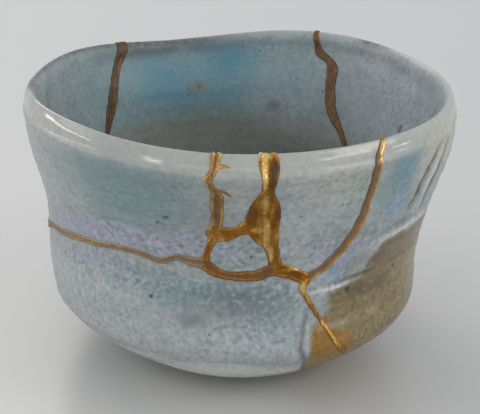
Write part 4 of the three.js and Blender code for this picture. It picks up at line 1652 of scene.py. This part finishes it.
@dataclass
class GoldSeams:
    """The gold that fills the breaks and stands up over both faces of the wall."""

    form: BowlForm
    finish: GoldDustedLacquer
    spacing: float = 0.24
    ragged: float = 0.25  # mm that the edge wanders
    sink: float = 0.14  # mm that the gold's edge lies below the glaze
    thickness: float = 0.36  # mm that it stands up
    shoulder: float = 0.7  # mm from the edge of a wide seam to its ridge

    def build(self, name: str, breaks: tuple[Break, ...]) -> bpy.types.Object:
        """Builds connected seams as one closed piece.

        Args:
            name: Name of the piece, which the frame uses too.
            breaks: The breaks that it fills.

        Returns:
            The finished piece.
        """
        spacing = self.spacing * 1.0
        angles = np.concatenate([np.array(line.stops)[:, 0] for line in breaks])
        margin = 6.0
        start, span = angles.min() - margin, np.ptp(angles) + 2.0 * margin
        lowest = min(stop[1] for line in breaks for stop in line.stops) - margin
        runs = self._runs_above(lowest, spacing)
        count = int(span * MM_PER_DEGREE / spacing)
        skin = Skin.rings(start, span, runs, np.full(len(runs), count))
        deep, _ = self._depth(breaks, skin)
        cut = skin.clipped(deep).without_specks(60)
        deep, near = self._depth(breaks, cut)
        plain = self.form.place(cut.angle, cut.run)
        crown = self._crown(plain, np.maximum(deep, 0.0), near)
        height = self.form.profile(cut.angle, cut.run)[1]
        # painted light: one side of each seam is painted lighter than the other
        shine = 0.25 + 0.8 * np.clip(crown, 0.0, 1.3) ** 0.8 + 0.45 * near.painted_side_light + near.powder
        # painted highlights and shade on the seams, mixed with thick and thin powder
        for angle, level, half_angle, half_height, amount in GOLD_TONES_AND_HIGHLIGHTS:
            reach = np.hypot((cut.angle - angle) / half_angle, (height - level) / half_height)
            shine += amount * smoothstep(1.4, 0.5, reach) * (cut.run < self.form.crest + 0.5)
        raised = -self.sink + (self.thickness + self.sink) * crown
        top = self.form.relief(cut.angle, cut.run, plain) + raised
        points = plain + self.form.normals(cut.angle, cut.run) * top[:, None]
        faces = np.concatenate([cut.faces, cut.break_walls(self.form)])
        piece = finished_mesh(name + "_lacquer", points, faces)
        paint(piece, "shine", shine)
        paint(piece, "worn", near.worn)
        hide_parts(name)
        return piece

    def _depth(self, breaks: tuple[Break, ...], skin: Skin) -> tuple[np.ndarray, Nearest]:
        """Distance in from the ragged edge of the gold, and what the nearest break is like."""
        height = self.form.profile(skin.angle, skin.run)[1]
        near = BreakField(breaks).measure(skin.angle, height)
        wander = self.ragged * fractal_noise(self.form.place(skin.angle, skin.run), 2.0, 71)
        return np.clip(wander, -0.3 * near.half, 0.5 * near.half) - near.edge, near

    def _runs_above(self, lowest: float, spacing: float) -> np.ndarray:
        """Runs of rows about evenly spaced on both faces of the wall above a height."""
        form = self.form
        fine = np.linspace(0.0, form.last_run, 3000)
        height = form.profile(np.full_like(fine, 290.0), fine)[1]
        low = fine[np.flatnonzero(height > lowest)[0]]
        high = fine[np.flatnonzero(height > lowest)[-1]]
        return even_runs(form, low, high, spacing)

    def _crown(self, points: np.ndarray, deep: np.ndarray, near: Nearest) -> np.ndarray:
        """How high each place stands in its seam: a ridge along both edges, and a lower middle.

        Args:
            points: Places in space, in mm.
            deep: Distance in from the seam's edge, in mm.
            near: What the nearest break is like.

        Returns:
            0 at the edge, about 1 on a ridge.
        """
        shoulder = np.minimum(near.half * 0.6, self.shoulder)
        t = np.clip(deep / shoulder, 0.0, 1.0)
        dome = np.sqrt(1.0 - (1.0 - t) ** 2)
        middle = smoothstep(0.8, 1.5, deep / shoulder) * near.hollow
        brushed = points * np.array([1.0, 1.0, 0.4])
        lumps = 0.25 * fractal_noise(brushed, 2.2, 83, 3) + 0.16 * fractal_noise(points, 0.9, 91, 2)
        return dome * (1.0 - 0.8 * middle) + lumps * t


# --- The studio ------------------------------------------------------------------------------------


@dataclass(frozen=True)
class SoftBox:
    """A soft lamp, aimed at the bowl."""

    name: str
    place: tuple[float, float, float]  # metres
    size: tuple[float, float]  # metres, across and up
    power: float
    colour: str = "#fff9ee"


@dataclass(frozen=True)
class Studio:
    """A pale table under soft light, and the camera."""

    target: tuple[float, float, float] = (-1.65, 1.75, 36.0)  # mm
    distance: float = 300.0  # mm
    elevation: float = 21.64
    lens: float = 81.83
    shift: tuple[float, float] = (0.0039, 0.0112)
    table: float = 14.0  # metres across
    surroundings: str = "#dadfe7"
    surroundings_strength: float = 0.84
    boxes: tuple[SoftBox, ...] = (
        SoftBox("back_window", (-0.45, 0.85, 0.8), (0.7, 0.7), 3.5),
        SoftBox("left_window", (-1.0, -0.1, 0.6), (0.6, 0.5), 1.3),
        SoftBox("right_window", (1.0, -0.3, 0.6), (0.6, 0.5), 3.1),
        SoftBox("low_left_window", (-1.05, 0.0, 0.22), (0.9, 0.07), 1.6),
        SoftBox("low_front_window", (-0.5, -0.94, 0.26), (0.16, 0.05), 0.3),
        SoftBox("low_right_window", (0.9, -0.52, 0.3), (0.45, 0.12), 0.7),
        SoftBox("right_slit", (1.1, -0.04, 0.09), (0.2, 0.03), 0.2),
        SoftBox("front_bounce", (0.0, -1.1, 0.1), (1.2, 0.16), 0.8, "#fffdfa"),
    )

    def set_up(self) -> None:
        """Adds the table, the lamps, the surroundings and the camera."""
        scene = bpy.context.scene
        scene.view_settings.view_transform = "Standard"
        half = self.table / 2.0
        corners = [(-half, -half, 0.0), (half, -half, 0.0), (half, half, 0.0), (-half, half, 0.0)]
        mesh = bpy.data.meshes.new("table_top")
        mesh.from_pydata(corners, [], [(0, 1, 2, 3)])
        table = bpy.data.objects.new("table_top", mesh)
        scene.collection.objects.link(table)
        table.data.materials.append(PressedLaminate().material("Pale laminate"))
        centre = Vector(self.target) * MM
        for box in self.boxes:
            lamp = bpy.data.lights.new(box.name, "AREA")
            lamp.shape, lamp.energy, lamp.color = "RECTANGLE", box.power, linear(box.colour)[:3]
            lamp.size, lamp.size_y = box.size
            stand = bpy.data.objects.new(box.name, lamp)
            stand.location = box.place
            stand.rotation_euler = (centre - Vector(box.place)).to_track_quat("-Z", "Y").to_euler()
            scene.collection.objects.link(stand)
        world = bpy.data.worlds.new("surroundings")
        world.use_nodes = True
        world.node_tree.nodes.clear()
        inputs = {"Color": linear(self.surroundings), "Strength": self.surroundings_strength}
        background = add_node(world.node_tree, "ShaderNodeBackground", inputs)
        add_node(world.node_tree, "ShaderNodeOutputWorld", {"Surface": background.outputs[0]})
        scene.world = world
        lens = bpy.data.cameras.new("camera")
        lens.lens = self.lens
        lens.shift_x, lens.shift_y = self.shift
        camera = bpy.data.objects.new("camera", lens)
        tilt = math.radians(self.elevation)
        back = Vector((0.0, -math.cos(tilt), math.sin(tilt)))
        camera.location = centre + back * self.distance * MM
        camera.rotation_euler = back.to_track_quat("Z", "Y").to_euler()
        scene.collection.objects.link(camera)
        scene.camera = camera


def main() -> None:
    """Builds the bowl's pieces, dresses them and sets up the studio."""
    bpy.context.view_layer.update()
    form = BowlForm()
    clay = ClayPieces(form, Glaze(form), GlazedStoneware())
    gold = GoldSeams(form, GoldDustedLacquer())
    glaze_material = clay.finish.material("Milky stoneware glaze")
    gold_material = gold.finish.material("Gold-dusted lacquer")
    skin = clay.skin()
    pieces = [clay.build(skin, "bowl_body", BROKEN_OUT, within=False)]
    pieces += [clay.build(skin, name, around, within=True) for name, around in SHERDS.items()]
    for piece in pieces:
        piece.data.materials.append(glaze_material)
    network = tuple(line for name, line in BREAKS.items() if name != LONE_BREAK) + tuple(SPLITS.values())
    seams = [
        gold.build("gold_seam_network", network),
        gold.build("gold_seam_back_right", (BREAKS[LONE_BREAK],)),
    ]
    for piece in seams:
        piece.data.materials.append(gold_material)
    for piece in pieces + seams:
        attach(piece, "root")
        log.info("%s: %d triangles", piece.name, len(piece.data.polygons))
    Studio().set_up()


if __name__ == "__main__":
    logging.basicConfig(level=logging.INFO, format="%(message)s")
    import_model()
    main()
